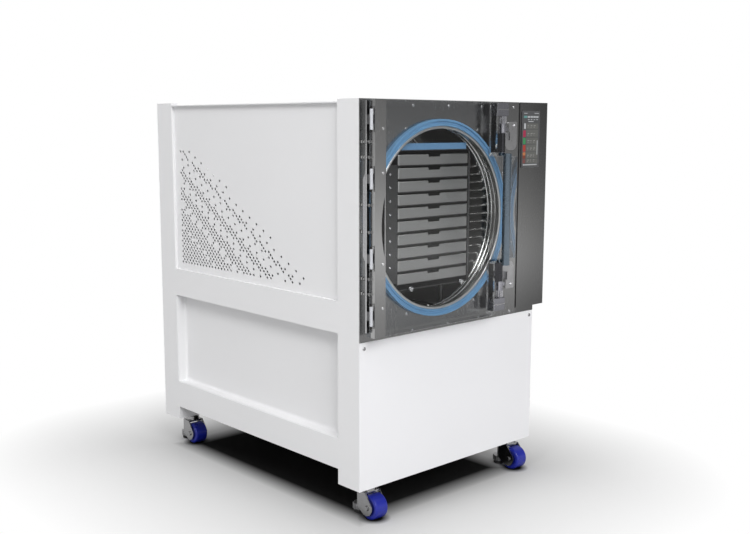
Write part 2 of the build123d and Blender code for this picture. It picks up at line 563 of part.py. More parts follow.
def make_hinge_plate():
    plate = block(PLATE_X, PLATE_Y, (LIFT + 447, LIFT + 1054))
    boss = side_plate([(BOSS_Y[1], HINGE_MID_Z - 100), (BOSS_Y[1], HINGE_MID_Z + 104),
                       (BOSS_Y[0], HINGE_MID_Z + 120), (BOSS_Y[0], HINGE_MID_Z - 113)], PLATE_X)
    plate = plate + boss
    bolts = []
    for dz in BOLT_Z:
        z = HINGE_MID_Z + dz
        plate -= level(HINGE_BOLT_X, z, BOLT_R, (PLATE_Y[0] - 1, BOSS_Y[1] + 1))
        bolts.append(spring_stack(z, BOSS_Y[1] if abs(dz) < 100 else PLATE_Y[1]))
    keep("hinge_plate", plate)
    keep("hinge_bolts", Compound(bolts))


def make_knuckles():
    x, y = HINGE_AXIS
    brackets, bushings = [], []
    for dz in KNUCKLE_Z:
        z = HINGE_MID_Z + dz
        arm = block((0, 6), (y + 3, PLATE_Y[0]), (z - 12, z + 12))
        brackets.append(arm - upright(x, y, KNUCKLE_R, (z - 20, z + 20)))
        bush = upright(x, y, KNUCKLE_R, (z - KNUCKLE_H / 2, z + KNUCKLE_H / 2))
        bush = fillet(bush.edges().filter_by(GeomType.CIRCLE), 1.0)
        bushings.append(bush - upright(x, y, PIN_R + RUN_CLEARANCE, (z - 40, z + 40)))
    keep("hinge_brackets", Compound(brackets))
    keep("hinge_bushings", Compound(bushings))


def stile_screw_places():
    """Four screws down the stile."""
    return [(STILE_X[0] + 29, HINGE_MID_Z + dz) for dz in (-238, -120, 119, 233)]


def make_stile():
    stile = block(STILE_X, (STILE_Y[0], STILE_Y[0] + STILE_T), DOOR_Z)
    stile += block((STILE_X[0], STILE_X[0] + STILE_T), STILE_Y, DOOR_Z)
    arc_r, arc_x = 289.0, 34.0
    window = level(arc_x + arc_r, HINGE_MID_Z - 22, arc_r, (STILE_Y[0] - 1, STILE_Y[0] + STILE_T + 1))
    window &= block((0, STILE_X[1] - 4), (STILE_Y[0] - 1, STILE_Y[0] + STILE_T + 1), DOOR_Z)
    stile -= window
    x, y = HINGE_AXIS
    for dz in KNUCKLE_Z:
        z = HINGE_MID_Z + dz
        end = KNUCKLE_H / 2 + LUG_GAP
        stile += upright(x, y, PIN_R, (z - end - LUG_H, z + end + LUG_H))
        for low in (z - end - LUG_H, z + end):
            stile += block((x, STILE_X[0]), (y - LUG_R, y + LUG_R), (low, low + LUG_H))
            stile += upright(x, y, LUG_R, (low, low + LUG_H))
    screws = []
    for px, pz in stile_screw_places():
        stile -= level(px, pz, SCREW_SHANK_R, (STILE_Y[0] - 1, STILE_Y[0] + STILE_T + 1))
        head = pan_head(px, pz, SCREW_HEAD_R, (STILE_Y[0] - SCREW_HEAD_T, STILE_Y[0]))
        screws.append(head + level(px, pz, SCREW_SHANK_R, (STILE_Y[0], STILE_Y[0] + 14)))
    keep("door_stile", stile)
    keep("stile_screws", Compound(screws))


def make_pane():
    pane = block(PANE_X, PANE_Y, DOOR_Z)
    pane -= block((NOTCH_X, PANE_X[1] + 1), (PANE_Y[0] - 1, PANE_Y[1] + 1), (NOTCH_Z[1], DOOR_Z[1] + 1))
    pane -= block((NOTCH_X, PANE_X[1] + 1), (PANE_Y[0] - 1, PANE_Y[1] + 1), (DOOR_Z[0] - 1, NOTCH_Z[0]))
    pane = chamfer(pane.faces().sort_by(Axis.Y)[0].edges(), 1.5)
    for x, z in stile_screw_places():
        pane -= level(x, z, SCREW_SHANK_R, (PANE_Y[0] - 1, STILE_Y[0] + 14))
    keep("door_pane", pane)


def latch_side(sign):
    """Housing, shaft and handle arm in one corner notch of the pane; sign is 1 above, -1 below."""
    x, y = LATCH_AXIS

    def heights(pair):
        return tuple(sorted(HINGE_MID_Z + sign * value for value in pair))

    web = block((NOTCH_X, NOTCH_X + 3), (y - 9, y + 9), heights((LATCH_BARREL[0], LATCH_END[1])))
    arm = block((NOTCH_X, x), (y - 6, y + 6), heights(LATCH_BARREL))
    end = block((NOTCH_X, x + 13), (y - 13.5, y + 13.5), heights(LATCH_END))
    end = fillet(end.edges().filter_by(Axis.Z), 3)
    groove = heights((LATCH_END[0] + 17, LATCH_END[0] + 20))
    end -= block((NOTCH_X + 4, x + 14), (y - 14, y - 12), groove)
    housing = joined([web, arm, end, upright(x, y, BARREL_R, heights(LATCH_BARREL))])
    housing -= upright(x, y, SHAFT_R + RUN_CLEARANCE, heights((LATCH_BARREL[0] - 1, LATCH_END[1] + 1)))

    collar_z = heights(LATCH_COLLAR)
    collar = upright(x, y, COLLAR_R, collar_z)
    rib_at, ribbed = COLLAR_R + 0.4, heights((RIBS_FROM, LATCH_COLLAR[1] + 1))
    flutes = [upright(x + rib_at * math.cos(a), y + rib_at * math.sin(a), RIB_R, ribbed)
              for a in (math.radians(30 * i + 15) for i in range(12))]
    collar = collar.cut(*flutes)
    nose_z = heights((LATCH_COLLAR[0] + 6, LATCH_COLLAR[0] + 14))
    nose = block((x, x + 17), (y - 6, y + 6), nose_z) + upright(x + 17, y, 6, nose_z)
    shaft = upright(x, y, SHAFT_R, heights((LATCH_ARM[0], LATCH_END[1] - 2)))
    shaft = joined([shaft, collar, nose])

    arm_z = heights(LATCH_ARM)
    elbow_y = PANE_Y[0] - 8
    reach = math.dist((x, elbow_y), (HANDLE_X, HANDLE_Y))
    slant = math.degrees(math.atan2(HANDLE_Y - elbow_y, HANDLE_X - x))
    lever = joined([
        upright(x, y, 10, arm_z), block((x - 7, x + 7), (elbow_y, y), arm_z), upright(x, elbow_y, 7, arm_z),
        Pos((x + HANDLE_X) / 2, (elbow_y + HANDLE_Y) / 2, sum(arm_z) / 2) * Rot(0, 0, slant)
        * Box(reach, 14, arm_z[1] - arm_z[0]), upright(HANDLE_X, HANDLE_Y, HANDLE_R, arm_z)])
    lever -= upright(x, y, SHAFT_R, (arm_z[0] - 1, arm_z[1] + 1))
    return housing, shaft, lever


def make_keepers():
    """Blocks on the fascia that the latch noses turn beside."""
    keepers = []
    for sign in (1, -1):
        near, step, far = (HINGE_MID_Z + sign * value for value in KEEPER_Z)
        z_bolt = HINGE_MID_Z + sign * KEEPER_BOLT[1]
        keeper = joined([block(KEEPER_X, (-KEEPER_T, 0), sorted((near, step))),
                         block((KEEPER_NECK, KEEPER_X[1]), (-KEEPER_T, 0), sorted((step, far)))])
        ends = keeper.edges().filter_by(Axis.Y).sort_by(Axis.Z)
        keeper = fillet(ends[:2] if sign > 0 else ends[-2:], 20)
        corners = keeper.edges().filter_by(Axis.Y).group_by(Axis.Z)[-1 if sign > 0 else 0]
        keeper = fillet(corners, 5)
        lug_z = sorted(HINGE_MID_Z + sign * value for value in KEEPER_LUG)
        keeper += block(KEEPER_LUG_X, (-17, -KEEPER_T), lug_z)
        keeper += level(KEEPER_BOLT[0], z_bolt, BOLT_R, (-KEEPER_T, FASCIA_T))
        keeper += hexagon_bolt(KEEPER_BOLT[0], z_bolt, -KEEPER_T, BOLT_ACROSS, 4)
        keepers.append(keeper)
    keep("latch_keepers", Compound(keepers))


def make_latches():
    upper, lower = latch_side(1), latch_side(-1)
    keep("latch_housings", Compound([upper[0], lower[0]]))
    keep("latch_shafts", Compound([upper[1], lower[1]]))
    grip = upright(HANDLE_X, HANDLE_Y, HANDLE_R, (HINGE_MID_Z - LATCH_ARM[0], HINGE_MID_Z + LATCH_ARM[0]))
    keep("latch_handle", joined([grip, upper[2], lower[2]]))


# ---------------------------------------------------------------- casters
def make_fork():
    """Yoke, race, axle and the threaded arm of the foot, with the swivel axis at the origin."""
    outer = WHEEL_W / 2 + CHEEK_GAP + CHEEK_T
    top = YOKE_Z[1]
    cheek = [(YOKE_REAR, top), (YOKE_FRONT, top), (TRAIL + 22, 41), (TRAIL + 21, 31), (TRAIL + 12, 17),
             (TRAIL - 2, 11), (TRAIL - 15, 13), (YOKE_REAR, 31)]
    parts = [block((YOKE_REAR, YOKE_FRONT), (-outer, outer), YOKE_Z)]
    base = top
    for radius, height in RACE:
        parts.append(upright(0, 0, radius, (base, height)))
        base = height
    parts.append(upright(0, 0, STEM_R, (base - 1, LIFT + 2 * PAD_T)))
    for side in (-1, 1):
        parts.append(front_plate(cheek, sorted((side * (outer - CHEEK_T), side * outer))))
        nut = hexagon_bolt(TRAIL, WHEEL_R, 0, 13.0, outer + CHEEK_T)
        parts.append(nut & block((0, 2 * TRAIL), (-outer - CHEEK_T, 1 - outer), (0, top)) if side < 0
                     else level(TRAIL, WHEEL_R, 7.0, (outer, outer + CHEEK_T - 1)))
    parts.append(level(TRAIL, WHEEL_R, AXLE_R, (-outer, outer)))
    arm_w = PAD_R - 2
    parts.append(block((FOOT_BACK, YOKE_REAR), (-arm_w, arm_w), YOKE_Z))
    parts.append(upright(FOOT_BACK, 0, arm_w, YOKE_Z))
    parts.append(upright(FOOT_BACK, 0, 2 * SCREW_R - 1, (YOKE_Z[0] - 10, YOKE_Z[0])))
    return joined(parts) - upright(FOOT_BACK, 0, SCREW_R + RUN_CLEARANCE, (YOKE_Z[0] - 11, top + 1))


def make_wheel():
    wheel = level(TRAIL, WHEEL_R, WHEEL_R, (-WHEEL_W / 2, WHEEL_W / 2))
    wheel = fillet(wheel.edges().filter_by(GeomType.CIRCLE), 5)
    for side in (-1, 1):
        edge = side * WHEEL_W / 2
        dish = sorted((edge - side * 3.5, edge + side))
        wheel -= level(TRAIL, WHEEL_R, 24, dish) - level(TRAIL, WHEEL_R, 10, dish)
    return wheel - level(TRAIL, WHEEL_R, AXLE_R + RUN_CLEARANCE, (-WHEEL_W, WHEEL_W))


def make_foot():
    """Rubber pad, star wheel to turn it by, and screw."""
    x = FOOT_BACK
    pad = upright(x, 0, PAD_R, PAD_Z) + upright(x, 0, PAD_R - 4, (PAD_Z[1], DIAL_Z[0]))
    star = upright(x, 0, DIAL_R, DIAL_Z)
    for point in range(STAR_POINTS):
        angle = 2 * math.pi * (point + 0.5) / STAR_POINTS
        reach = DIAL_R + STAR_R / 2
        notch = (x + reach * math.cos(angle), reach * math.sin(angle))
        star -= upright(*notch, STAR_R, (DIAL_Z[0] - 1, DIAL_Z[1] + 1))
    return joined([pad, star, upright(x, 0, SCREW_R, (DIAL_Z[1] - 1, SCREW_TOP))])


def make_casters():
    fork, wheel, foot = make_fork(), make_wheel(), make_foot()
    for name, (x, y) in caster_axes().items():
        place = Pos(x, y, 0) * Rot(0, 0, CASTER_TURN)
        keep(f"caster_fork_{name}", place * fork)
        keep(f"caster_wheel_{name}", place * wheel)
        keep(f"caster_foot_{name}", place * foot)


def main():
    for make in (make_frame, make_side_panels, make_lower_panels, make_rear_panel, make_top_and_front,
                 make_fascia, make_front_screws, make_controls, make_vessel, make_gasket, make_coil,
                 make_rack, make_trays, make_compressor, make_condenser, make_fan, make_rear_fittings,
                 make_hinge_plate, make_knuckles, make_stile, make_pane, make_keepers, make_latches,
                 make_casters):
        make()
    os.makedirs("parts", exist_ok=True)
    shift = Pos(-ORIGIN[0], -ORIGIN[1], -ORIGIN[2])
    for name, shape in PIECES.items():
        export_step(shift * shape, f"parts/{name}.step")
    print(len(PIECES), "pieces")


main()
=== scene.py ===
"""Looks of a floor-standing freeze dryer: finishes, small fittings, studio floor, lights and camera.

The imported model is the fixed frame. Every piece added here takes its place from a node's box in that
frame, in metres, with X to the right seen from the front, Y backwards and Z up from the floor.
"""
import logging
import math
from dataclasses import dataclass
from enum import Enum
from functools import cache
from typing import Iterable, Optional, Sequence, Union

import bmesh
import bpy
from mathutils import Euler, Matrix, Vector


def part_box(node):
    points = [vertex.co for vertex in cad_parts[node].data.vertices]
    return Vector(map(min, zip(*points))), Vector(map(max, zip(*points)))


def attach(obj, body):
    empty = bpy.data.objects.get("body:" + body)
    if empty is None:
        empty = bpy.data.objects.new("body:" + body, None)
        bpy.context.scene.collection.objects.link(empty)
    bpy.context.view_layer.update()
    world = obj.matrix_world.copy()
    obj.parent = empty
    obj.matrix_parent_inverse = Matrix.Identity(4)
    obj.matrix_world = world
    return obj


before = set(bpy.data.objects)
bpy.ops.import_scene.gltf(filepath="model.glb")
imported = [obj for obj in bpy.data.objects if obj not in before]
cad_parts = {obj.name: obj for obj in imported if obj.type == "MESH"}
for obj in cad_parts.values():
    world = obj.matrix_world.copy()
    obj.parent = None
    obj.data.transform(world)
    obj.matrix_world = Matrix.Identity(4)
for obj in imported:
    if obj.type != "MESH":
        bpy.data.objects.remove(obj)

LOG = logging.getLogger("freeze_dryer")
MM = 0.001
Colour = tuple[float, float, float]
Point = tuple[float, float, float]
Span = tuple[float, float]
Operand = Union["Term", float, Sequence[float]]
Pieces = list[bpy.types.Object]
CASTERS = ("front_left", "front_right", "rear_left", "rear_right")
TRAYS = tuple(f"tray_{number:02d}" for number in range(1, 11))
SHARP = math.radians(35)
FORWARD, BACKWARD, UPWARD = Vector((0, -1, 0)), Vector((0, 1, 0)), Vector((0, 0, 1))


def lowest(node: str) -> Vector:
    """The lowest corner of a node's box."""
    return Vector(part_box(node)[0])


def highest(node: str) -> Vector:
    """The highest corner of a node's box."""
    return Vector(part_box(node)[1])


def middle(node: str) -> Vector:
    """The middle of a node's box."""
    return (lowest(node) + highest(node)) / 2


def toned(colour: Colour, factor: float, lift: float = 0.0) -> Colour:
    """A colour made lighter or darker, held at 1."""
    return tuple(min(1.0, factor * part + lift) for part in colour)


# ---------------------------------------------------------------- shader expressions
class Term:
    """A node's output that can stand in a Python expression."""

    def __init__(self, graph: "Graph", socket: bpy.types.NodeSocket) -> None:
        """Keeps the graph that new nodes go to, and the socket."""
        self.graph = graph
        self.socket = socket

    @property
    def is_vector(self) -> bool:
        """True for colours and vectors."""
        return self.socket.type in {"VECTOR", "RGBA"}

    def _combine(self, operation: str, first: Operand, second: Operand) -> "Term":
        """Adds one Math or Vector Math node.

        Args:
            operation: The node's operation.
            first: The left side.
            second: The right side.

        Returns:
            The node's result.
        """
        if not self.is_vector:
            return self.graph.node("ShaderNodeMath", {"operation": operation}, {0: first, 1: second})
        pair = [(side,) * 3 if isinstance(side, (int, float)) else side for side in (first, second)]
        return self.graph.node("ShaderNodeVectorMath", {"operation": operation}, {0: pair[0], 1: pair[1]})

    def __add__(self, other: Operand) -> "Term":
        """Sum."""
        return self._combine("ADD", self, other)

    def __radd__(self, other: Operand) -> "Term":
        """Sum with a number on the left."""
        return self._combine("ADD", other, self)

    def __sub__(self, other: Operand) -> "Term":
        """Difference."""
        return self._combine("SUBTRACT", self, other)

    def __rsub__(self, other: Operand) -> "Term":
        """Difference from a number."""
        return self._combine("SUBTRACT", other, self)

    def __mul__(self, other: Operand) -> "Term":
        """Product."""
        return self._combine("MULTIPLY", self, other)

    def __rmul__(self, other: Operand) -> "Term":
        """Product with a number on the left."""
        return self._combine("MULTIPLY", other, self)

    def __truediv__(self, other: Operand) -> "Term":
        """Quotient."""
        return self._combine("DIVIDE", self, other)

    def __rtruediv__(self, other: Operand) -> "Term":
        """Quotient of a number by the value."""
        return self._combine("DIVIDE", other, self)

    def __pow__(self, other: float) -> "Term":
        """Power, of a value only."""
        return self._combine("POWER", self, other)

    def absolute(self) -> "Term":
        """Size without sign."""
        return self._combine("ABSOLUTE", self, 0.0)

    def at_least(self, floor: Operand) -> "Term":
        """The greater of the value and floor."""
        return self._combine("MAXIMUM", self, floor)

    def clamped(self) -> "Term":
        """The value held between 0 and 1."""
        return self.graph.node("ShaderNodeClamp", {}, {0: self})

    def spread(self, low: float, high: float, start: float = 0.0, end: float = 1.0) -> "Term":
        """The value mapped from low..high to start..end and held there."""
        sockets = {0: self, 1: low, 2: high, 3: start, 4: end}
        return self.graph.node("ShaderNodeMapRange", {"clamp": True}, sockets)

    def around(self, centre: float, sway: Span, share: Span = (0.3, 0.7)) -> "Term":
        """A share of the value's range mapped to a little below and above a centre."""
        return self.spread(*share, centre - sway[0], centre + sway[1])


class Graph:
    """A material's node tree, filled through one method."""

    def __init__(self, tree: bpy.types.NodeTree) -> None:
        """Empties the tree."""
        self.tree = tree
        tree.nodes.clear()

    def node(self, kind: str, settings: Optional[dict] = None, sockets: Optional[dict] = None,
             output: Union[int, str] = 0) -> Term:
        """Adds a node.

        Args:
            kind: The node's type.
            settings: Attributes set before the sockets; stops fills a colour ramp.
            sockets: Values or terms for the input sockets, by name or number.
            output: Which output to return.

        Returns:
            The chosen output, or the first input of a node that has none.
        """
        made = self.tree.nodes.new(kind)
        for name, value in (settings or {}).items():
            if name == "stops":
                self._fill_ramp(made, value)
            else:
                setattr(made, name, value)
        for key, value in (sockets or {}).items():
            if isinstance(value, Term):
                self.tree.links.new(value.socket, made.inputs[key])
            else:
                made.inputs[key].default_value = value
        return Term(self, made.outputs[output]) if made.outputs else Term(self, made.inputs[0])

    @staticmethod
    def _fill_ramp(made: bpy.types.Node, stops: Sequence[tuple[float, Colour]]) -> None:
        """Sets a colour ramp's stops."""
        elements = made.color_ramp.elements
        while len(elements) < len(stops):
            elements.new(1.0)
        for element, (place, colour) in zip(elements, stops):
            element.position = place
            element.color = (*colour, 1.0)

    def place(self) -> Term:
        """Position on the object, in metres."""
        return self.node("ShaderNodeTexCoord", output="Object")

    def facing(self) -> tuple[Term, Term, Term]:
        """The surface normal's parts along X, Y and Z."""
        return self.parts(self.node("ShaderNodeNewGeometry", output="Normal"))

    def parts(self, vector: Term) -> tuple[Term, Term, Term]:
        """A vector's parts along X, Y and Z."""
        made = self.node("ShaderNodeSeparateXYZ", {}, {0: vector}).socket.node
        return tuple(Term(self, made.outputs[index]) for index in range(3))

    def noise(self, scale: float, detail: float = 3.0, stretch: Point = (1.0, 1.0, 1.0)) -> Term:
        """Even grain between 0 and 1.

        Args:
            scale: Cells per metre.
            detail: Octaves.
            stretch: Factor on each axis, below 1 for streaks along it.

        Returns:
            The grain.
        """
        coords = self.place() * stretch
        inputs = {"Vector": coords, "Scale": scale, "Detail": detail}
        return self.node("ShaderNodeTexNoise", {}, inputs, "Fac")

    def blend(self, factor: Operand, first: Operand, second: Operand) -> Term:
        """A mix of two colours."""
        sides = {6: self._rgba(first), 7: self._rgba(second), 0: factor}
        return self.node("ShaderNodeMix", {"data_type": "RGBA"}, sides, 2)

    @staticmethod
    def _rgba(colour: Operand) -> Operand:
        """A colour with its alpha, or the term as it is."""
        return colour if isinstance(colour, Term) else (*colour[:3], 1.0)

    def rays(self, *kinds: str) -> Term:
        """1 for rays of these kinds and 0 for others."""
        path = self.node("ShaderNodeLightPath").socket.node
        seen = [Term(self, path.outputs[f"Is {kind} Ray"]) for kind in kinds]
        return sum(seen[1:], seen[0]).clamped()

    def bump(self, height: Term, strength: float, distance: float) -> Term:
        """A normal from a height, distance in metres."""
        return self.node("ShaderNodeBump", {}, {"Height": height, "Strength": strength, "Distance": distance})

    def principled(self, **sockets: Operand) -> Term:
        """A Principled shader; an underscore in a name stands for a space."""
        named = {key.replace("_", " "): value for key, value in sockets.items()}
        if "Base Color" in named:
            named["Base Color"] = self._rgba(named["Base Color"])
        return self.node("ShaderNodeBsdfPrincipled", {}, named)

    def finish(self, shader: Term) -> None:
        """Ends the tree in its output."""
        self.node("ShaderNodeOutputMaterial", {}, {"Surface": shader})


# ---------------------------------------------------------------- finishes
@dataclass(frozen=True)
class Finish:
    """A named surface; each kind shades itself."""

    name: str

    def shade(self, graph: Graph) -> Term:
        """The surface's shader."""
        raise NotImplementedError


@cache
def material_of(finish: Finish) -> bpy.types.Material:
    """A finish's material, made once.

    Args:
        finish: The finish.

    Returns:
        The material, named after it.
    """
    made = bpy.data.materials.new(f"look_{finish.name}")
    made.use_nodes = True
    graph = Graph(made.node_tree)
    graph.finish(finish.shade(graph))
    return made


@dataclass(frozen=True)
class Zones:
    """Tones along one axis, as stops of a ramp between two places; the fascia's, stile's and hinge plate's
    are painted shade.
    """

    axis: int
    start: float
    end: float
    stops: tuple[tuple[float, float], ...]

    def over(self, graph: Graph) -> Term:
        """The tone at the surface's place."""
        along = graph.parts(graph.place())[self.axis].spread(self.start, self.end)
        stops = [(share, (tone,) * 3) for share, tone in self.stops]
        return graph.node("ShaderNodeValToRGB", {"stops": stops}, {0: along})


@dataclass(frozen=True)
class PowderCoat(Finish):
    """Baked powder paint with a fine orange peel; scales are in cells per metre."""

    colour: Colour = (0.775, 0.775, 0.785)
    roughness: float = 0.42
    peel: float = 0.10
    sway: Span = (0.04, 0.05)
    cloud_scale: float = 3.0
    peel_scale: float = 620.0
    smear_scale: float = 40.0

    def shade(self, graph: Graph) -> Term:
        """Paint whose colour and gloss wander a little."""
        cloud = graph.noise(self.cloud_scale, 2.0)
        tone = graph.blend(cloud, toned(self.colour, 0.965), self.colour)
        peel = graph.noise(self.peel_scale, 2.0)
        rough = graph.noise(self.smear_scale).around(self.roughness, self.sway)
        return graph.principled(Base_Color=tone, Roughness=rough, Normal=graph.bump(peel, self.peel, 0.0002))


@dataclass(frozen=True)
class BrushedSteel(Finish):
    """Stainless sheet with a fine grain along one axis; scales are in cells per metre."""

    colour: Colour
    roughness: float
    grain: Point
    depth: float = 0.10
    zones: Optional[Zones] = None
    sway: Span = (0.05, 0.06)
    streak_scale: float = 2600.0
    cloud_scale: float = 5.0

    def shade(self, graph: Graph) -> Term:
        """Metal with long streaks in its tone, gloss and height."""
        streaks = graph.noise(self.streak_scale, 3.0, self.grain)
        wide = graph.noise(self.cloud_scale, 2.0)
        tone = graph.blend(streaks * 0.5 + wide * 0.5, toned(self.colour, 0.90), toned(self.colour, 1.10))
        # Painted shade where zones are given: they darken the fascia's control side, the stile's outer lip
        # and the front of the hinge plate.
        if self.zones:
            tone = tone * self.zones.over(graph)
        rough = (streaks * 0.6 + wide * 0.4).around(self.roughness, self.sway, (0.25, 0.75))
        normal = graph.bump(streaks, self.depth, 0.0001)
        return graph.principled(Base_Color=tone, Metallic=1.0, Roughness=rough, Normal=normal)


@dataclass(frozen=True)
class PolishedSteel(Finish):
    """Bright turned or polished metal with faint smears."""

    colour: Colour = (0.66, 0.66, 0.67)
    roughness: float = 0.16
    zones: Optional[Zones] = None
    sway: Span = (0.04, 0.10)
    smear_scale: float = 60.0

    def shade(self, graph: Graph) -> Term:
        """Metal whose gloss has soft smears."""
        smear = graph.noise(self.smear_scale, 4.0)
        rough = smear.around(self.roughness, self.sway, (0.3, 0.75))
        tone = graph.blend(smear, self.colour, toned(self.colour, 0.88))
        if self.zones:
            tone = tone * self.zones.over(graph)
        return graph.principled(Base_Color=tone, Metallic=1.0, Roughness=rough)


@dataclass(frozen=True)
class ZincPlate(Finish):
    """Zinc-plated pressed steel with a mottled grey."""

    colour: Colour = (0.34, 0.34, 0.345)
    roughness: Span = (0.28, 0.42)
    crystal_scale: float = 260.0

    def shade(self, graph: Graph) -> Term:
        """Metal with small crystals of lighter grey."""
        sockets = {"Vector": graph.place(), "Scale": self.crystal_scale}
        spot = graph.parts(graph.node("ShaderNodeTexVoronoi", {}, sockets, "Color"))[0]
        tone = graph.blend(spot * 0.6, self.colour, toned(self.colour, 1.35))
        roughness = spot.spread(0.0, 1.0, *self.roughness)
        return graph.principled(Base_Color=tone, Metallic=1.0, Roughness=roughness)


@dataclass(frozen=True)
class Moulded(Finish):
    """Moulded or cast plastic and rubber with a fine grain; scales are in cells per metre."""

    colour: Colour
    roughness: float
    grain: float = 0.12
    grain_scale: float = 1500.0
    sway: Span = (0.05, 0.07)
    cloud_scale: float = 22.0

    def shade(self, graph: Graph) -> Term:
        """Plastic whose tone and gloss wander a little."""
        grain = graph.noise(self.grain_scale, 2.0)
        cloud = graph.noise(self.cloud_scale, 3.0)
        rough = cloud.around(self.roughness, self.sway)
        normal = graph.bump(grain, self.grain, 0.0002)
        tone = graph.blend(cloud, self.colour, toned(self.colour, 1.18, 0.004))
        return graph.principled(Base_Color=tone, Roughness=rough, Normal=normal)


@dataclass(frozen=True)
class ClearSheet(Finish):
    """Thick clear sheet whose broad faces point along Y, and whose sawn edges look darker from painted shade,
    a dark solid colour mixed in.
    """

    tint: Colour = (0.93, 0.935, 0.94)
    # edge is painted shade: a dark solid colour mixed into the sawn edges, at the share body, for the light
    # lost in them.
    edge: Colour = (0.10, 0.11, 0.12)
    mirror: float = 0.5
    body: float = 0.62
    bend: float = 1.45
    shine: float = 0.9
    rim: Span = (0.55, 0.8)

    def shade(self, graph: Graph) -> Term:
        """Clear on the broad faces; from outside its edges are partly a dark solid colour, painted shade, and
        from within they mirror the inside.
        """
        across = graph.facing()[1].absolute()
        rim = 1.0 - across.spread(*self.rim)
        inside = graph.node("ShaderNodeNewGeometry", output="Backfacing")
        outside = 1.0 - inside
        shine = graph.node("ShaderNodeFresnel", {}, {"IOR": self.bend}) * outside * self.shine
        clear = graph.node("ShaderNodeBsdfTransparent", {}, {"Color": (*self.tint, 1.0)})
        gloss = graph.node("ShaderNodeBsdfGlossy", {}, {"Color": (1.0, 1.0, 1.0, 1.0), "Roughness": 0.04})
        face = graph.node("ShaderNodeMixShader", {}, {0: shine, 1: clear, 2: gloss})
        painted_edge_shade = graph.principled(Base_Color=self.edge, Roughness=0.12)
        outer = graph.node("ShaderNodeMixShader", {}, {0: self.body, 1: face, 2: painted_edge_shade})
        mirror = graph.node("ShaderNodeMixShader", {}, {0: self.mirror, 1: clear, 2: gloss})
        edge = graph.node("ShaderNodeMixShader", {}, {0: inside, 1: outer, 2: mirror})
        return graph.node("ShaderNodeMixShader", {}, {0: rim, 1: face, 2: edge})


@dataclass(frozen=True)
class LitTile(Finish):
    """A part of a lit display."""

    colour: Colour
    strength: float
    cloud_scale: float = 35.0

    def shade(self, graph: Graph) -> Term:
        """Glossy face that gives off a little of its own colour, unevenly as a backlight does."""
        glow = graph.blend(graph.noise(self.cloud_scale, 1.0), toned(self.colour, 0.85), self.colour)
        return graph.principled(Base_Color=glow, Roughness=0.25, Emission_Color=glow,
                                Emission_Strength=self.strength)


@dataclass(frozen=True)
class Banded(Finish):
    """Stacked thin fins or discs, told apart by dark lines of painted shade where the gaps between them lie.
    """

    axis: int = 0
    pitch: float = 0.003
    # dark is painted shade: the tone of the gaps between discs or fins.
    dark: float = 0.05
    bright: float = 0.6
    roughness: float = 0.35

    def shade(self, graph: Graph) -> Term:
        """Bright bands, and dark bands of painted shade, across one axis."""
        place, half = graph.parts(graph.place())[self.axis], self.pitch / 2
        band = graph.node("ShaderNodeMath", {"operation": "PINGPONG"}, {0: place, 1: half}) / half
        tone = graph.blend(band, (self.dark,) * 3, (self.bright,) * 3)
        normal = graph.bump(band, 0.6, 0.001)
        return graph.principled(Base_Color=tone, Metallic=1.0, Roughness=self.roughness, Normal=normal)


# Painted shade: the fascia is darkened beyond the slot on its control side, and darker still towards its
# right end.
FASCIA_PAINTED_SHADE = Zones(0, lowest("fascia_plate").x, highest("fascia_plate").x,
                     ((0.0, 1.0), (0.822, 1.0), (0.832, 0.74), (1.0, 0.52)))
# Painted shade: the stile's outer lip, the first few millimetres of its width, is darkened to a tenth.
STILE_PAINTED_SHADE = Zones(0, lowest("door_stile").x, highest("door_stile").x,
                    ((0.0, 0.1), (0.05, 0.1), (0.09, 1.0)))
# Painted shade: the front part of the hinge plate is darkened to about a quarter.
HINGE_PAINTED_SHADE = Zones(1, lowest("hinge_plate").y, highest("hinge_plate").y,
                    ((0.0, 0.22), (0.36, 0.28), (0.40, 1.0)))
ALONG_LATCH = Zones(2, lowest("latch_housings").z, highest("latch_housings").z,
                    ((0.0, 1.0), (0.0605, 1.0), (0.062, 0.16), (0.938, 0.16), (0.9395, 1.0)))


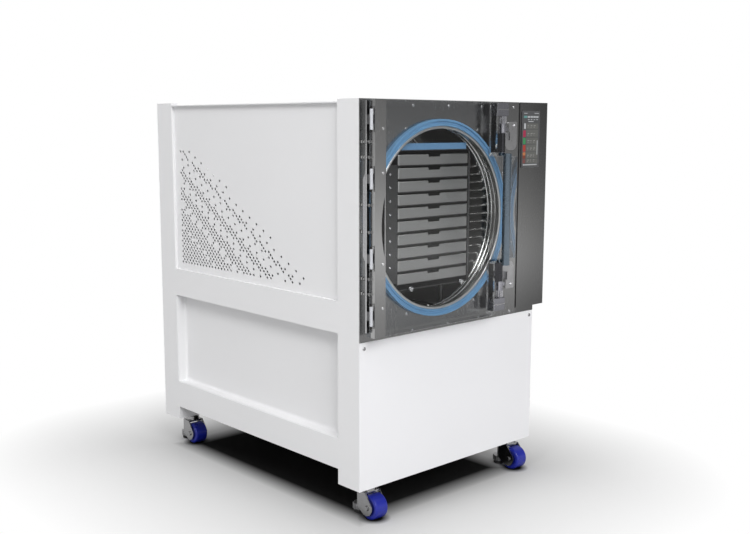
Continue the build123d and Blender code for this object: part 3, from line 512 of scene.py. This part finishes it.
class Palette(Enum):
    """The finishes of this machine, by part."""

    CABINET = PowderCoat("cabinet_white")
    FRONT_PANEL = PowderCoat("front_panel_white", (0.84, 0.84, 0.86), 0.36, 0.05)
    FASCIA = BrushedSteel("fascia_steel", (0.34, 0.34, 0.34), 0.24, (1.0, 1.0, 0.02), 0.02, FASCIA_PAINTED_SHADE)
    HINGE = BrushedSteel("hinge_steel", (0.42, 0.42, 0.435), 0.26, (1.0, 1.0, 0.03), 0.1, HINGE_PAINTED_SHADE)
    # Painted shade: the hinge brackets are the hinge steel toned far darker, to stand in for the shade they
    # show.
    BRACKET = BrushedSteel("bracket_steel_painted_shade", (0.13, 0.13, 0.135), 0.26, (1.0, 1.0, 0.03))
    STILE = BrushedSteel("stile_steel", (0.38, 0.38, 0.38), 0.24, (1.0, 1.0, 0.03), 0.02, STILE_PAINTED_SHADE)
    VESSEL = BrushedSteel("vessel_steel", (0.64, 0.64, 0.63), 0.36, (1.0, 0.03, 1.0), 0.08)
    COIL = PolishedSteel("coil_steel", (0.78, 0.78, 0.76), 0.14)
    RACK = BrushedSteel("rack_steel", (0.10, 0.10, 0.10), 0.42, (1.0, 1.0, 0.05))
    TRAY = BrushedSteel("tray_steel", (0.44, 0.44, 0.43), 0.40, (0.03, 1.0, 1.0), 0.06)
    POLISHED = PolishedSteel("polished_steel")
    KEEPER = PolishedSteel("keeper_steel", (0.55, 0.55, 0.56), 0.30)
    # The disc springs' dark bands are painted shade between the discs.
    SPRING = Banded("disc_springs", 1, 0.0088, 0.01, 0.7)
    CHROME = PolishedSteel("caster_chrome", (0.40, 0.40, 0.405), 0.15)
    LATCH = PolishedSteel("latch_steel", (0.42, 0.42, 0.46), 0.22, ALONG_LATCH)
    SHAFT = PolishedSteel("shaft_steel", (0.42, 0.42, 0.46), 0.22)
    HANDLE = PolishedSteel("handle_steel", (0.16, 0.20, 0.24), 0.22)
    ZINC = ZincPlate("zinc_plate")
    SILICONE = Moulded("blue_silicone", (0.13, 0.29, 0.48), 0.36, 0.05)
    STRIP = Moulded("blue_strip", (0.12, 0.26, 0.44), 0.30, 0.03)
    BUSHING = Moulded("white_bushing", (0.46, 0.47, 0.50), 0.35, 0.05)
    # Painted shade: near-black matte for the strip that darkens the slot.
    SLOT_SHADE = Moulded("slot_painted_shade", (0.004, 0.004, 0.004), 0.9, 0.02)
    WHEEL = Moulded("wheel_polyurethane", (0.005, 0.013, 0.27), 0.30, 0.06, 700.0)
    RUBBER = Moulded("foot_rubber", (0.02, 0.02, 0.02), 0.62)
    BLACK_PAINT = Moulded("black_enamel", (0.02, 0.02, 0.021), 0.35, 0.05)
    FOAM = Moulded("foam_lagging", (0.035, 0.035, 0.035), 0.85, 0.6, 500.0)
    BOARD = Moulded("circuit_green", (0.02, 0.12, 0.05), 0.40)
    SCREEN = Moulded("screen_bezel", (0.075, 0.075, 0.078), 0.20, 0.0)
    PANE = ClearSheet("clear_pane")
    # The condenser fins' dark bands are painted shade between the fins.
    FINS = Banded("condenser_fins")


def dress(finish: Palette, *nodes: str) -> Pieces:
    """Gives CAD nodes a finish in their material slots.

    Args:
        finish: The finish.
        nodes: The nodes' names.

    Returns:
        The nodes' objects.
    """
    made = material_of(finish.value)
    dressed = [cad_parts[name] for name in nodes]
    for node in dressed:
        for slot in node.material_slots:
            slot.material = made
    return dressed


# ---------------------------------------------------------------- mesh making
def in_scene(name: str, data: bpy.types.ID) -> bpy.types.Object:
    """A new object of the scene that shows the given data."""
    made = bpy.data.objects.new(name, data)
    bpy.context.scene.collection.objects.link(made)
    return made


def add_piece(name: str, data: bpy.types.Mesh, body: str) -> bpy.types.Object:
    """Puts a mesh in the scene as a piece of the machine.

    Args:
        name: The piece's name.
        data: Its mesh.
        body: The CAD body that it moves with.

    Returns:
        The piece.
    """
    piece = in_scene(name, data)
    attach(piece, body)
    return piece


class Builder:
    """Collects shapes of one added piece in a single mesh."""

    def __init__(self, name: str) -> None:
        """Starts with no shapes."""
        self.name = name
        self.mesh = bmesh.new()

    def block(self, low: Sequence[float], high: Sequence[float], bevel: float) -> None:
        """Adds a box between two corners, with its edges eased."""
        size = [b - a for a, b in zip(low, high)]
        centre = [(a + b) / 2 for a, b in zip(low, high)]
        matrix = Matrix.Translation(centre) @ Matrix.Diagonal((*size, 1.0))
        made = bmesh.ops.create_cube(self.mesh, size=1.0, matrix=matrix)
        edges = {edge for vert in made["verts"] for edge in vert.link_edges}
        bmesh.ops.bevel(self.mesh, geom=list(edges), offset=bevel, segments=2, affect="EDGES", profile=0.5)

    def turned(self, base: Vector, axis: Vector, profile: Sequence[Span], steps: int) -> None:
        """Adds a turned shape.

        Args:
            base: Where the profile's height is zero.
            axis: Direction of height.
            profile: Pairs of radius and height, in order; a radius of 0 closes an end.
            steps: Sides of the turning.
        """
        spin = axis.normalized().to_track_quat("Z", "Y").to_matrix().to_4x4()
        matrix = Matrix.Translation(base) @ spin
        rings = []
        for radius, height in profile:
            if radius <= 0.0:
                rings.append([self.mesh.verts.new(matrix @ Vector((0, 0, height)))])
                continue
            angles = (2 * math.pi * step / steps for step in range(steps))
            places = [Vector((radius * math.cos(a), radius * math.sin(a), height)) for a in angles]
            rings.append([self.mesh.verts.new(matrix @ place) for place in places])
        for lower, upper in zip(rings, rings[1:]):
            self._band(lower, upper, steps)

    def _band(self, lower: list, upper: list, steps: int) -> None:
        """Joins two rings, either of which may be one point."""
        for step in range(steps):
            after = (step + 1) % steps
            if len(lower) == 1:
                self.mesh.faces.new((lower[0], upper[after], upper[step]))
            elif len(upper) == 1:
                self.mesh.faces.new((lower[step], lower[after], upper[0]))
            else:
                self.mesh.faces.new((lower[step], lower[after], upper[after], upper[step]))

    def make(self, body: str, finish: Finish, smooth: bool = True) -> bpy.types.Object:
        """Turns the shapes into a piece that rides on a body.

        Args:
            body: The CAD body that it moves with.
            finish: Its finish.
            smooth: Whether its round faces shade smoothly.

        Returns:
            The piece.
        """
        bmesh.ops.recalc_face_normals(self.mesh, faces=self.mesh.faces)
        data = bpy.data.meshes.new(self.name)
        self.mesh.to_mesh(data)
        self.mesh.free()
        data.materials.append(material_of(finish))
        if smooth:
            data.shade_smooth()
            data.set_sharp_from_angle(angle=SHARP)
        return add_piece(self.name, data, body)


def tube(name: str, points: Sequence[Point], radius: float, body: str, finish: Finish) -> bpy.types.Object:
    """A round bar along points, with closed ends.

    Args:
        name: The piece's name.
        points: Its middle line, in metres.
        radius: Its radius.
        body: The CAD body that it moves with.
        finish: Its finish.

    Returns:
        The piece, as a mesh.
    """
    curve = bpy.data.curves.new(name, "CURVE")
    curve.dimensions = "3D"
    curve.bevel_depth = radius
    curve.bevel_resolution = 3
    curve.use_fill_caps = True
    spline = curve.splines.new("POLY")
    spline.points.add(len(points) - 1)
    for point, place in zip(spline.points, points):
        point.co = (*place, 1.0)
    carrier = bpy.data.objects.new(name + "_line", curve)
    data = bpy.data.meshes.new_from_object(carrier)
    bpy.data.objects.remove(carrier)
    data.name = name
    data.materials.clear()
    data.materials.append(material_of(finish))
    data.shade_smooth()
    return add_piece(name, data, body)


# ---------------------------------------------------------------- cabinet
@dataclass
class Cabinet:
    """White cabinet: folded frame, panels and what they are fastened with."""

    rivet_radius: float = 2.4 * MM
    rivet_shoulder: float = 0.8 * MM
    rivet_height: float = 1.4 * MM
    rivet_inset: float = 0.012
    rivet_step: float = 0.195

    def build(self) -> Pieces:
        """Dresses the sheets and adds the rivets of the rear panel."""
        return [*dress(Palette.CABINET, "side_posts", "side_rails", "cross_frame", "vent_panel_left",
                       "vent_panel_right", "lower_panel_left", "lower_panel_right", "rear_panel",
                       "top_panel"),
                *dress(Palette.FRONT_PANEL, "front_lower_panel"),
                *dress(Palette.POLISHED, "front_screws", "rear_fittings"),
                self.rivets()]

    def rivets(self) -> bpy.types.Object:
        """Domed rivets down both sides of the rear panel."""
        low, high = lowest("rear_panel"), highest("rear_panel")
        made = Builder("rear_rivets")
        dome = [(self.rivet_radius, 0.0), (self.rivet_radius * 0.9, self.rivet_shoulder),
                (0.0, self.rivet_height)]
        for step in range(int((high.z - low.z) / self.rivet_step) + 1):
            z = low.z + self.rivet_inset + step * self.rivet_step
            for x in (low.x + self.rivet_inset, high.x - self.rivet_inset):
                made.turned(Vector((x, high.y, z)), BACKWARD, dome, 16)
        return made.make("root", Palette.POLISHED.value)


# ---------------------------------------------------------------- fascia and controls
@dataclass
class ControlSide:
    """Fascia, control housing and the lit touchscreen, whose fields are shares of its lit page."""

    margin: float = 4.0 * MM
    layer: float = 0.25 * MM
    tile_ease: float = 0.05 * MM
    slot_from: float = 14.8 * MM
    slot_width: float = 6.1 * MM
    slot_base: float = 17.5 * MM
    slot_top: float = 0.5 * MM
    slot_depths: Span = (1.2 * MM, 2.8 * MM)
    slot_ease: float = 0.3 * MM
    row_bases: tuple[float, ...] = (0.690, 0.545, 0.415, 0.275, 0.145, 0.055)
    rows_top: float = 0.805
    row_gap: float = 0.012

    def build(self) -> Pieces:
        """Dresses the metal, lines the slot with a black strip of painted shade and draws the display's
        fields.
        """
        return [*dress(Palette.FASCIA, "fascia_plate", "control_housing"),
                *dress(Palette.SCREEN, "control_screen"),
                *dress(Palette.BOARD, "control_board"),
                self.slot_shade_strip(),
                *self.display()]

    def slot_shade_strip(self) -> bpy.types.Object:
        """A black matte strip at the bottom of the slot between door side and control side, painted shade
        that stands in for the slot's depth.
        """
        strip = Builder("slot_shade_strip")
        left = lowest("control_screen").x - self.slot_from
        low, high = lowest("fascia_plate"), highest("fascia_plate")
        near, far = self.slot_depths
        strip.block((left, low.y + near, low.z + self.slot_base),
                    (left + self.slot_width, low.y + far, high.z - self.slot_top), self.slot_ease)
        return strip.make("root", Palette.SLOT_SHADE.value, False)

    def fields(self, name: str, finish: LitTile,
               tiles: Iterable[tuple[Span, Span, int]]) -> bpy.types.Object:
        """Thin fields of one colour on the display.

        Args:
            name: The piece's name.
            finish: Its finish.
            tiles: Each field's left and right edge, its bottom and top edge, and the layers it stands out.

        Returns:
            The piece.
        """
        low, high = lowest("control_screen"), highest("control_screen")
        left, base = low.x + self.margin, low.z + self.margin
        width, height = high.x - self.margin - left, high.z - self.margin - base
        made = Builder(name)
        for x, z, level in tiles:
            front = low.y - self.layer * level
            made.block((left + x[0] * width, front, base + z[0] * height),
                       (left + x[1] * width, front + self.layer, base + z[1] * height), self.tile_ease)
        return made.make("root", finish, False)

    def lines(self) -> list[tuple[Span, Span, int]]:
        """Captions, a row of pale keys with their marks, the slider and its track."""
        tiles = [((0.04, 0.24), (0.974, 0.985), 2), ((0.70, 0.97), (0.974, 0.985), 2)]
        for step in range(4):
            left = 0.27 + 0.178 * step
            tiles.append(((left, left + 0.15), (0.898, 0.930), 2))
            tiles.append(((left + 0.02, left + 0.11), (0.858, 0.872), 2))
        return tiles + [((0.32, 0.64), (0.822, 0.838), 2), ((0.02, 0.91), (0.020, 0.040), 2),
                        ((0.885, 0.925), (0.215, 0.480), 3), ((0.05, 0.16), (0.695, 0.795), 2)]

    def readings(self) -> list[tuple[Span, Span, int]]:
        """Three readings in each row, each a long mark over a short one."""
        tiles = []
        for step, z in enumerate(self.row_bases):
            for share in range(3):
                left, width = 0.28 + 0.19 * share, 0.06 + 0.03 * ((step + share) % 3)
                tiles.append(((left, left + width), (z + 0.058, z + 0.068), 3))
                tiles.append(((left, left + 0.5 * width), (z + 0.030, z + 0.038), 3))
        return tiles

    def display(self) -> Pieces:
        """A control page: captions, a row of keys, coloured buttons, rows of readings and a slider."""
        tops = (self.rows_top,) + self.row_bases
        rows = [((0.20, 0.95), (z, above - self.row_gap), 2) for z, above in zip(self.row_bases, tops)]
        keys = {"teal": ((0.03, 0.235), (0.894, 0.934), (0.09, 0.21, 0.20)),
                "crimson": ((0.0, 0.165), (0.545, 0.665), (0.26, 0.022, 0.055)),
                "green": ((0.0, 0.165), (0.415, 0.525), (0.035, 0.19, 0.07)),
                "red": ((0.0, 0.165), (0.275, 0.395), (0.27, 0.035, 0.025)),
                "amber": ((0.0, 0.165), (0.205, 0.262), (0.36, 0.13, 0.05)),
                "brown": ((0.0, 0.165), (0.145, 0.203), (0.15, 0.035, 0.02)),
                "rust": ((0.0, 0.165), (0.060, 0.130), (0.14, 0.05, 0.045))}
        page, marks = [((0.0, 1.0), (0.0, 1.0), 1)], self.readings()
        return [self.fields("screen_page", LitTile("page_grey", (0.065, 0.066, 0.068), 0.3), page),
                self.fields("screen_lines", LitTile("line_white", (0.34, 0.35, 0.36), 0.35), self.lines()),
                self.fields("screen_rows", LitTile("row_grey", (0.095, 0.096, 0.090), 0.3), rows),
                self.fields("screen_readings", LitTile("mark_white", (0.26, 0.26, 0.25), 0.3), marks),
                *(self.fields(f"screen_key_{name}", LitTile(f"key_{name}", colour, 0.35), [(x, z, 2)])
                  for name, (x, z, colour) in keys.items())]


# ---------------------------------------------------------------- chamber
@dataclass
class Chamber:
    """Vacuum chamber, its seal, coil, rack and trays."""

    flange_depth: float = 9.0 * MM
    screw_radius: float = 3.4 * MM
    screw_left: float = 29.0 * MM
    screw_drop: float = 14.0 * MM
    knob_radius: float = 6.8 * MM
    knob_shifts: Span = (50.0 * MM, 258.0 * MM)
    knob_drop: float = 387.0 * MM
    tray_gap: float = 2.0 * MM
    rim_radius: float = 1.3 * MM
    rim_inset: float = 0.6 * MM
    rim_corner: float = 3.0 * MM
    notch: float = 25.0 * MM

    def build(self) -> Pieces:
        """Dresses the chamber's parts and adds rack screws, knob caps and rolled tray rims."""
        return [*dress(Palette.VESSEL, "chamber_vessel"),
                *dress(Palette.COIL, "evaporator_coil"),
                *dress(Palette.FOAM, "chamber_lagging"),
                *dress(Palette.SILICONE, "chamber_gasket"),
                *dress(Palette.RACK, "shelf_rack", "heated_shelves"),
                *dress(Palette.STRIP, "rack_top_strip"),
                *dress(Palette.TRAY, *TRAYS),
                self.rack_screws(),
                self.knobs(),
                *(self.rim(tray) for tray in TRAYS)]

    def rack_screws(self) -> bpy.types.Object:
        """A column of pan-head screws down the rack's left flange."""
        made = Builder("rack_screws")
        x = lowest("tray_01").x - self.screw_left
        face = lowest("shelf_rack").y + self.flange_depth
        radius = self.screw_radius
        head = [(radius, 0.0), (radius, 1.0 * MM), (radius * 0.7, 2.0 * MM), (radius * 0.35, 2.2 * MM),
                (radius * 0.3, 1.4 * MM), (0.0, 1.4 * MM)]
        for tray in TRAYS[1:9]:
            made.turned(Vector((x, face, highest(tray).z - self.screw_drop)), FORWARD, head, 20)
        return made.make("root", Palette.POLISHED.value)

    def knobs(self) -> bpy.types.Object:
        """A knurled cap on each knob at the rack's lower front corners."""
        made = Builder("rack_knobs")
        inner = lowest("tray_01").x - self.tray_gap
        face, height = lowest("shelf_rack").y + self.flange_depth, highest("shelf_rack").z - self.knob_drop
        radius, rise = self.knob_radius, self.knob_radius * 0.07
        cap = [(0.0, 9.6 * MM), (radius * 0.55, 9.6 * MM), (radius * 0.9, 9.2 * MM)]
        cap += [(radius + rise * (step % 2), 8.6 * MM - step * 0.8 * MM) for step in range(9)]
        cap.append((radius * 0.98, 1.2 * MM))
        for shift in self.knob_shifts:
            made.turned(Vector((inner + shift, face, height)), FORWARD, cap[::-1], 40)
        return made.make("root", Palette.POLISHED.value)

    def rim(self, tray: str) -> bpy.types.Object:
        """A rolled rim round a tray's top edge, open at the notch in its front."""
        low, high = lowest(tray), highest(tray)
        inset, corner, centre, z = self.rim_inset, self.rim_corner, (low.x + high.x) / 2, high.z
        route = [(centre + self.notch, low.y + inset, z), (high.x - corner, low.y + inset, z),
                 (high.x - inset, low.y + corner, z), (high.x - inset, high.y - corner, z),
                 (high.x - corner, high.y - inset, z), (low.x + corner, high.y - inset, z),
                 (low.x + inset, high.y - corner, z), (low.x + inset, low.y + corner, z),
                 (low.x + corner, low.y + inset, z), (centre - self.notch, low.y + inset, z)]
        return tube(f"{tray}_rim", route, self.rim_radius, "root", Palette.TRAY.value)


# ---------------------------------------------------------------- door
@dataclass
class Door:
    """Clear door with its hinge and latch; heights are from the door's middle."""

    edge_width: float = 3.6 * MM
    edge_height: float = 0.25 * MM
    edge_ease: float = 0.1 * MM
    ribs: int = 12
    rib_radius: float = 1.1 * MM
    rib_ring: float = 10.7 * MM
    rib_taper: float = 0.4 * MM
    rib_heights: Span = (246.5 * MM, 267.0 * MM)
    shaft_axis: float = 11.0 * MM
    band_heights: Span = (285.2 * MM, 287.8 * MM)
    band_depths: Span = (0.1 * MM, 1.4 * MM)
    band_left: float = 4.2 * MM
    band_right: float = 0.2 * MM
    band_ease: float = 0.2 * MM

    def build(self) -> Pieces:
        """Dresses the pane and its metal, and trims hinge and latches."""
        return [*dress(Palette.PANE, "door_pane"),
                *dress(Palette.STILE, "door_stile"),
                *dress(Palette.HINGE, "hinge_plate"),
                *dress(Palette.BRACKET, "hinge_brackets"),
                *dress(Palette.BUSHING, "hinge_bushings"),
                *dress(Palette.SPRING, "hinge_bolts"),
                *dress(Palette.POLISHED, "stile_screws"),
                *dress(Palette.KEEPER, "latch_keepers"),
                *dress(Palette.HANDLE, "latch_handle"),
                *dress(Palette.LATCH, "latch_housings"),
                *dress(Palette.SHAFT, "latch_shafts"),
                self.hinge_edge(),
                self.collar_ribs(),
                self.end_bands()]

    def hinge_edge(self) -> bpy.types.Object:
        """The polished edge down the hinge plate's outer side."""
        low, high = lowest("hinge_plate"), highest("hinge_plate")
        edge = Builder("hinge_edge")
        edge.block((low.x - self.edge_height, low.y, low.z), (low.x, low.y + self.edge_width, high.z),
                   self.edge_ease)
        return edge.make("root", Palette.POLISHED.value, False)

    def collar_ribs(self) -> bpy.types.Object:
        """Polished ribs between the flutes of both latch collars."""
        low, centre = lowest("latch_shafts"), middle("latch_shafts")
        start, end = self.rib_heights
        radius, taper = self.rib_radius, self.rib_taper
        profile = [(0.0, 0.0), (radius, taper), (radius, end - start - taper), (0.0, end - start)]
        made = Builder("latch_ribs")
        for sign in (1, -1):
            for step in range(self.ribs):
                angle = math.radians(360 / self.ribs * step)
                around = Vector((math.cos(angle), math.sin(angle), 0.0)) * self.rib_ring
                foot = Vector((low.x + self.shaft_axis, centre.y, centre.z + sign * start)) + around
                made.turned(foot, UPWARD * sign, profile, 12)
        return made.make("latch", Palette.POLISHED.value)

    def end_bands(self) -> bpy.types.Object:
        """A polished band in the groove of both latch end blocks."""
        low, high, centre = lowest("latch_housings"), highest("latch_housings"), middle("latch_housings").z
        bands = Builder("latch_bands")
        start, end = self.band_heights
        near, far = self.band_depths
        for base, top in ((centre + start, centre + end), (centre - end, centre - start)):
            bands.block((low.x + self.band_left, low.y + near, base),
                        (high.x - self.band_right, low.y + far, top), self.band_ease)
        return bands.make("door", Palette.POLISHED.value, False)


# ---------------------------------------------------------------- casters
@dataclass
class Casters:
    """Four casters: fork, wheel and levelling foot."""

    pad_radius: float = 16.0 * MM
    collar: float = 1.0 * MM

    def build(self) -> Pieces:
        """Dresses each caster and adds the rubber round its foot."""
        pieces: Pieces = []
        for name in CASTERS:
            pieces += dress(Palette.CHROME, f"caster_fork_{name}")
            pieces += dress(Palette.ZINC, f"caster_foot_{name}")
            pieces += dress(Palette.WHEEL, f"caster_wheel_{name}")
            pieces.append(self.foot_collar(name))
        return pieces

    def foot_collar(self, name: str) -> bpy.types.Object:
        """A rubber collar round the levelling foot's pad."""
        centre, low = middle(f"caster_foot_{name}"), lowest(f"caster_foot_{name}")
        made = Builder(f"foot_collar_{name}")
        edge, outer = self.pad_radius, self.pad_radius + self.collar
        profile = [(edge, 0.3 * MM), (outer, 1.2 * MM), (outer, 6.5 * MM), (edge, 8.3 * MM),
                   (edge * 0.75, 8.4 * MM)]
        made.turned(Vector((centre.x, centre.y, low.z)), UPWARD, profile, 40)
        return made.make(f"foot_{name}", Palette.RUBBER.value)


# ---------------------------------------------------------------- plant
@dataclass
class Plant:
    """Refrigeration plant in the lower cabinet."""

    def build(self) -> Pieces:
        """Dresses the plant."""
        return [*dress(Palette.BLACK_PAINT, "compressor", "condenser_fan", "fan_blade"),
                *dress(Palette.FINS, "condenser_coil")]


# ---------------------------------------------------------------- studio
@dataclass
class Studio:
    """Pale floor with painted shadows, soft lights and the camera; angles are in degrees."""

    eye: Point = (-2.0958, -2.3815, 1.0997)
    turn: float = 42.68
    dip: float = 8.23
    roll: float = 0.11
    lens: float = 47.14
    sight: float = 200.0
    reach: float = 30.0
    fade: float = 0.62
    shadow_and_floor_tones: Span = (0.015, 0.56)
    contact_shadow_radius: float = 22.0 * MM
    sky_tones: Span = (0.36, 0.68)
    card_centre: Point = (2.0, -2.9, 0.0)
    card_half: float = 3.0
    card_top: float = 3.4
    card_apron: float = 1.9
    card_glow: Span = (2.05, 1.0)
    lamp_aim: Point = (0.0, 0.0, 0.6)

    def build(self) -> Pieces:
        """Makes camera, floor, world, lamps and card."""
        camera, floor = self.camera(), self.floor()
        self.world()
        bpy.context.scene.view_settings.view_transform = "Standard"
        return [camera, floor, *self.lamps(), self.card()]

    def camera(self) -> bpy.types.Object:
        """Places the camera front left of the machine, a little below its top."""
        data = bpy.data.cameras.new("camera")
        data.lens = self.lens
        data.clip_end = self.sight
        made = in_scene("camera", data)
        aim = Euler((math.radians(90 - self.dip), 0, math.radians(-self.turn))).to_matrix()
        aim = aim @ Matrix.Rotation(math.radians(self.roll), 3, "Z")
        made.matrix_world = Matrix.Translation(self.eye) @ aim.to_4x4()
        bpy.context.scene.camera = made
        return made

    def sheet(self, name: str, corners: Sequence[Sequence[float]],
              faces: Sequence[Sequence[int]]) -> tuple[bpy.types.Object, Graph]:
        """A flat thing of the stage.

        Args:
            name: The name of object and material.
            corners: Its corners.
            faces: Its faces, as the corners' numbers.

        Returns:
            The object, and its material's empty graph.
        """
        data = bpy.data.meshes.new(name)
        data.from_pydata(corners, [], faces)
        made = in_scene(name, data)
        material = bpy.data.materials.new(name)
        material.use_nodes = True
        data.materials.append(material)
        return made, Graph(material.node_tree)

    def floor(self) -> bpy.types.Object:
        """A wide pale floor with a painted shadow below the cabinet and painted contact shadows round its
        wheels; it fades to the background's white with distance, so the grey round the cabinet is partly
        painted shadow.
        """
        r = self.reach
        made, graph = self.sheet("floor", [(-r, -r, 0), (r, -r, 0), (r, r, 0), (-r, r, 0)], [(0, 1, 2, 3)])
        x, y, _ = graph.parts(graph.place())
        low, high = lowest("side_posts"), highest("side_posts")
        beside = (x - (low.x + high.x) / 2).absolute() - (high.x - low.x) / 2
        before = (y - (low.y + high.y) / 2).absolute() - (high.y - low.y) / 2
        distance = (beside.at_least(0.0) ** 2.0 + before.at_least(0.0) ** 2.0) ** 0.5
        # Partly painted shadow: near the cabinet camera and glossy rays see the floor's real shading, but
        # with distance it turns to white light, so the grey round the cabinet fades out by distance rather
        # than by light.
        fade = distance.spread(0.0, self.fade)
        # Painted shadow: the floor is darkened to the shadow tone inside the cabinet's footprint, easing out
        # over its last few centimetres.
        shadow_mask = beside.at_least(before).spread(-0.09, -0.01)
        dark, pale = self.shadow_and_floor_tones
        tone = graph.blend(shadow_mask, (dark,) * 3, (pale,) * 3)
        # Painted contact shadows: the floor is darkened to near black round each wheel's middle.
        for name in CASTERS:
            tread = middle(f"caster_wheel_{name}")
            away = ((x - tread.x) ** 2.0 + (y - tread.y) ** 2.0) ** 0.5
            tone = tone * away.spread(self.contact_shadow_radius, 2.2 * self.contact_shadow_radius, 0.02, 1.0)
        seen = graph.rays("Camera", "Glossy", "Transmission")
        matt = graph.node("ShaderNodeBsdfDiffuse", {}, {"Color": tone})
        white = graph.node("ShaderNodeEmission", {}, {"Color": (1.0, 1.0, 1.0, 1.0), "Strength": 1.0})
        graph.finish(graph.node("ShaderNodeMixShader", {}, {0: fade * seen, 1: matt, 2: white}))
        return made

    def world(self) -> None:
        """White behind everything, and on the object a pale sky that grows lighter upwards."""
        world = bpy.data.worlds.new("studio")
        bpy.context.scene.world = world
        world.use_nodes = True
        graph = Graph(world.node_tree)
        up = graph.parts(graph.node("ShaderNodeTexCoord", output="Generated"))[2]
        dim, pale = self.sky_tones
        glow = graph.blend(up.spread(0.0, 0.8), (dim,) * 3, (pale,) * 3)
        sky = graph.node("ShaderNodeBackground", {}, {"Color": glow, "Strength": 1.0})
        white = graph.node("ShaderNodeBackground", {}, {"Color": (1.0, 1.0, 1.0, 1.0), "Strength": 1.0})
        seen = graph.rays("Camera", "Transmission")
        both = graph.node("ShaderNodeMixShader", {}, {0: seen, 1: sky, 2: white})
        graph.node("ShaderNodeOutputWorld", {}, {"Surface": both})

    def card(self) -> bpy.types.Object:
        """A card and its apron that only glossy faces see: a pale band low down, dark above and below."""
        centre, out = Vector(self.card_centre), Vector((1.0, -1.0, 0.0)).normalized()
        side = Vector((out.y, -out.x, 0.0)) * self.card_half
        feet = [centre - side, centre + side]
        rows = [[foot - out * self.card_apron + Vector((0, 0, 0.004)) for foot in feet], feet,
                [foot + Vector((0, 0, self.card_top)) for foot in feet]]
        corners = [point for row in rows for point in row]
        made, graph = self.sheet("card", corners, [(0, 1, 3, 2), (2, 3, 5, 4)])
        x, _, height = graph.parts(graph.place())
        stops = [(0.0, (0.20, 0.20, 0.20)), (0.04, (0.50, 0.50, 0.50)), (0.09, (1.0, 1.0, 1.0)),
                 (0.14, (0.62, 0.62, 0.61)), (0.24, (0.26, 0.26, 0.26)), (0.45, (0.16, 0.16, 0.16)),
                 (1.0, (0.10, 0.10, 0.10))]
        tone = graph.node("ShaderNodeValToRGB", {"stops": stops}, {0: height / self.card_top})
        glow = x.spread(0.3, 3.2, *self.card_glow)
        graph.finish(graph.node("ShaderNodeEmission", {}, {"Color": tone, "Strength": glow}))
        made.visible_camera = False
        made.visible_diffuse = False
        made.visible_shadow = False
        made.visible_transmission = False
        return made

    def lamps(self) -> Pieces:
        """A broad soft key from the front left and one high over the left side."""
        return [self.lamp("key", (-1.8, -4.6, 3.4), 2.4, 165.0),
                self.lamp("top", (-3.6, -0.8, 5.2), 2.2, 112.0)]

    def lamp(self, name: str, place: Point, size: float, power: float) -> bpy.types.Object:
        """One square area lamp that looks at the machine's middle.

        Args:
            name: Its name.
            place: Its position.
            size: Its side, in metres.
            power: Its power, in watts.

        Returns:
            The lamp.
        """
        data = bpy.data.lights.new(name, "AREA")
        data.size = size
        data.energy = power
        made = in_scene(name, data)
        aim = Vector(self.lamp_aim) - Vector(place)
        made.matrix_world = Matrix.Translation(place) @ aim.to_track_quat("-Z", "Y").to_matrix().to_4x4()
        made.visible_camera = False
        return made


def main() -> None:
    """Builds the studio and each sub-assembly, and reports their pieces."""
    logging.basicConfig(level=logging.INFO, format="%(name)s: %(message)s")
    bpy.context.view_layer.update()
    for part in (Studio(), Cabinet(), ControlSide(), Chamber(), Door(), Casters(), Plant()):
        for piece in part.build():
            LOG.info("%s: %s", type(part).__name__, piece.name)


if __name__ == "__main__":
    main()
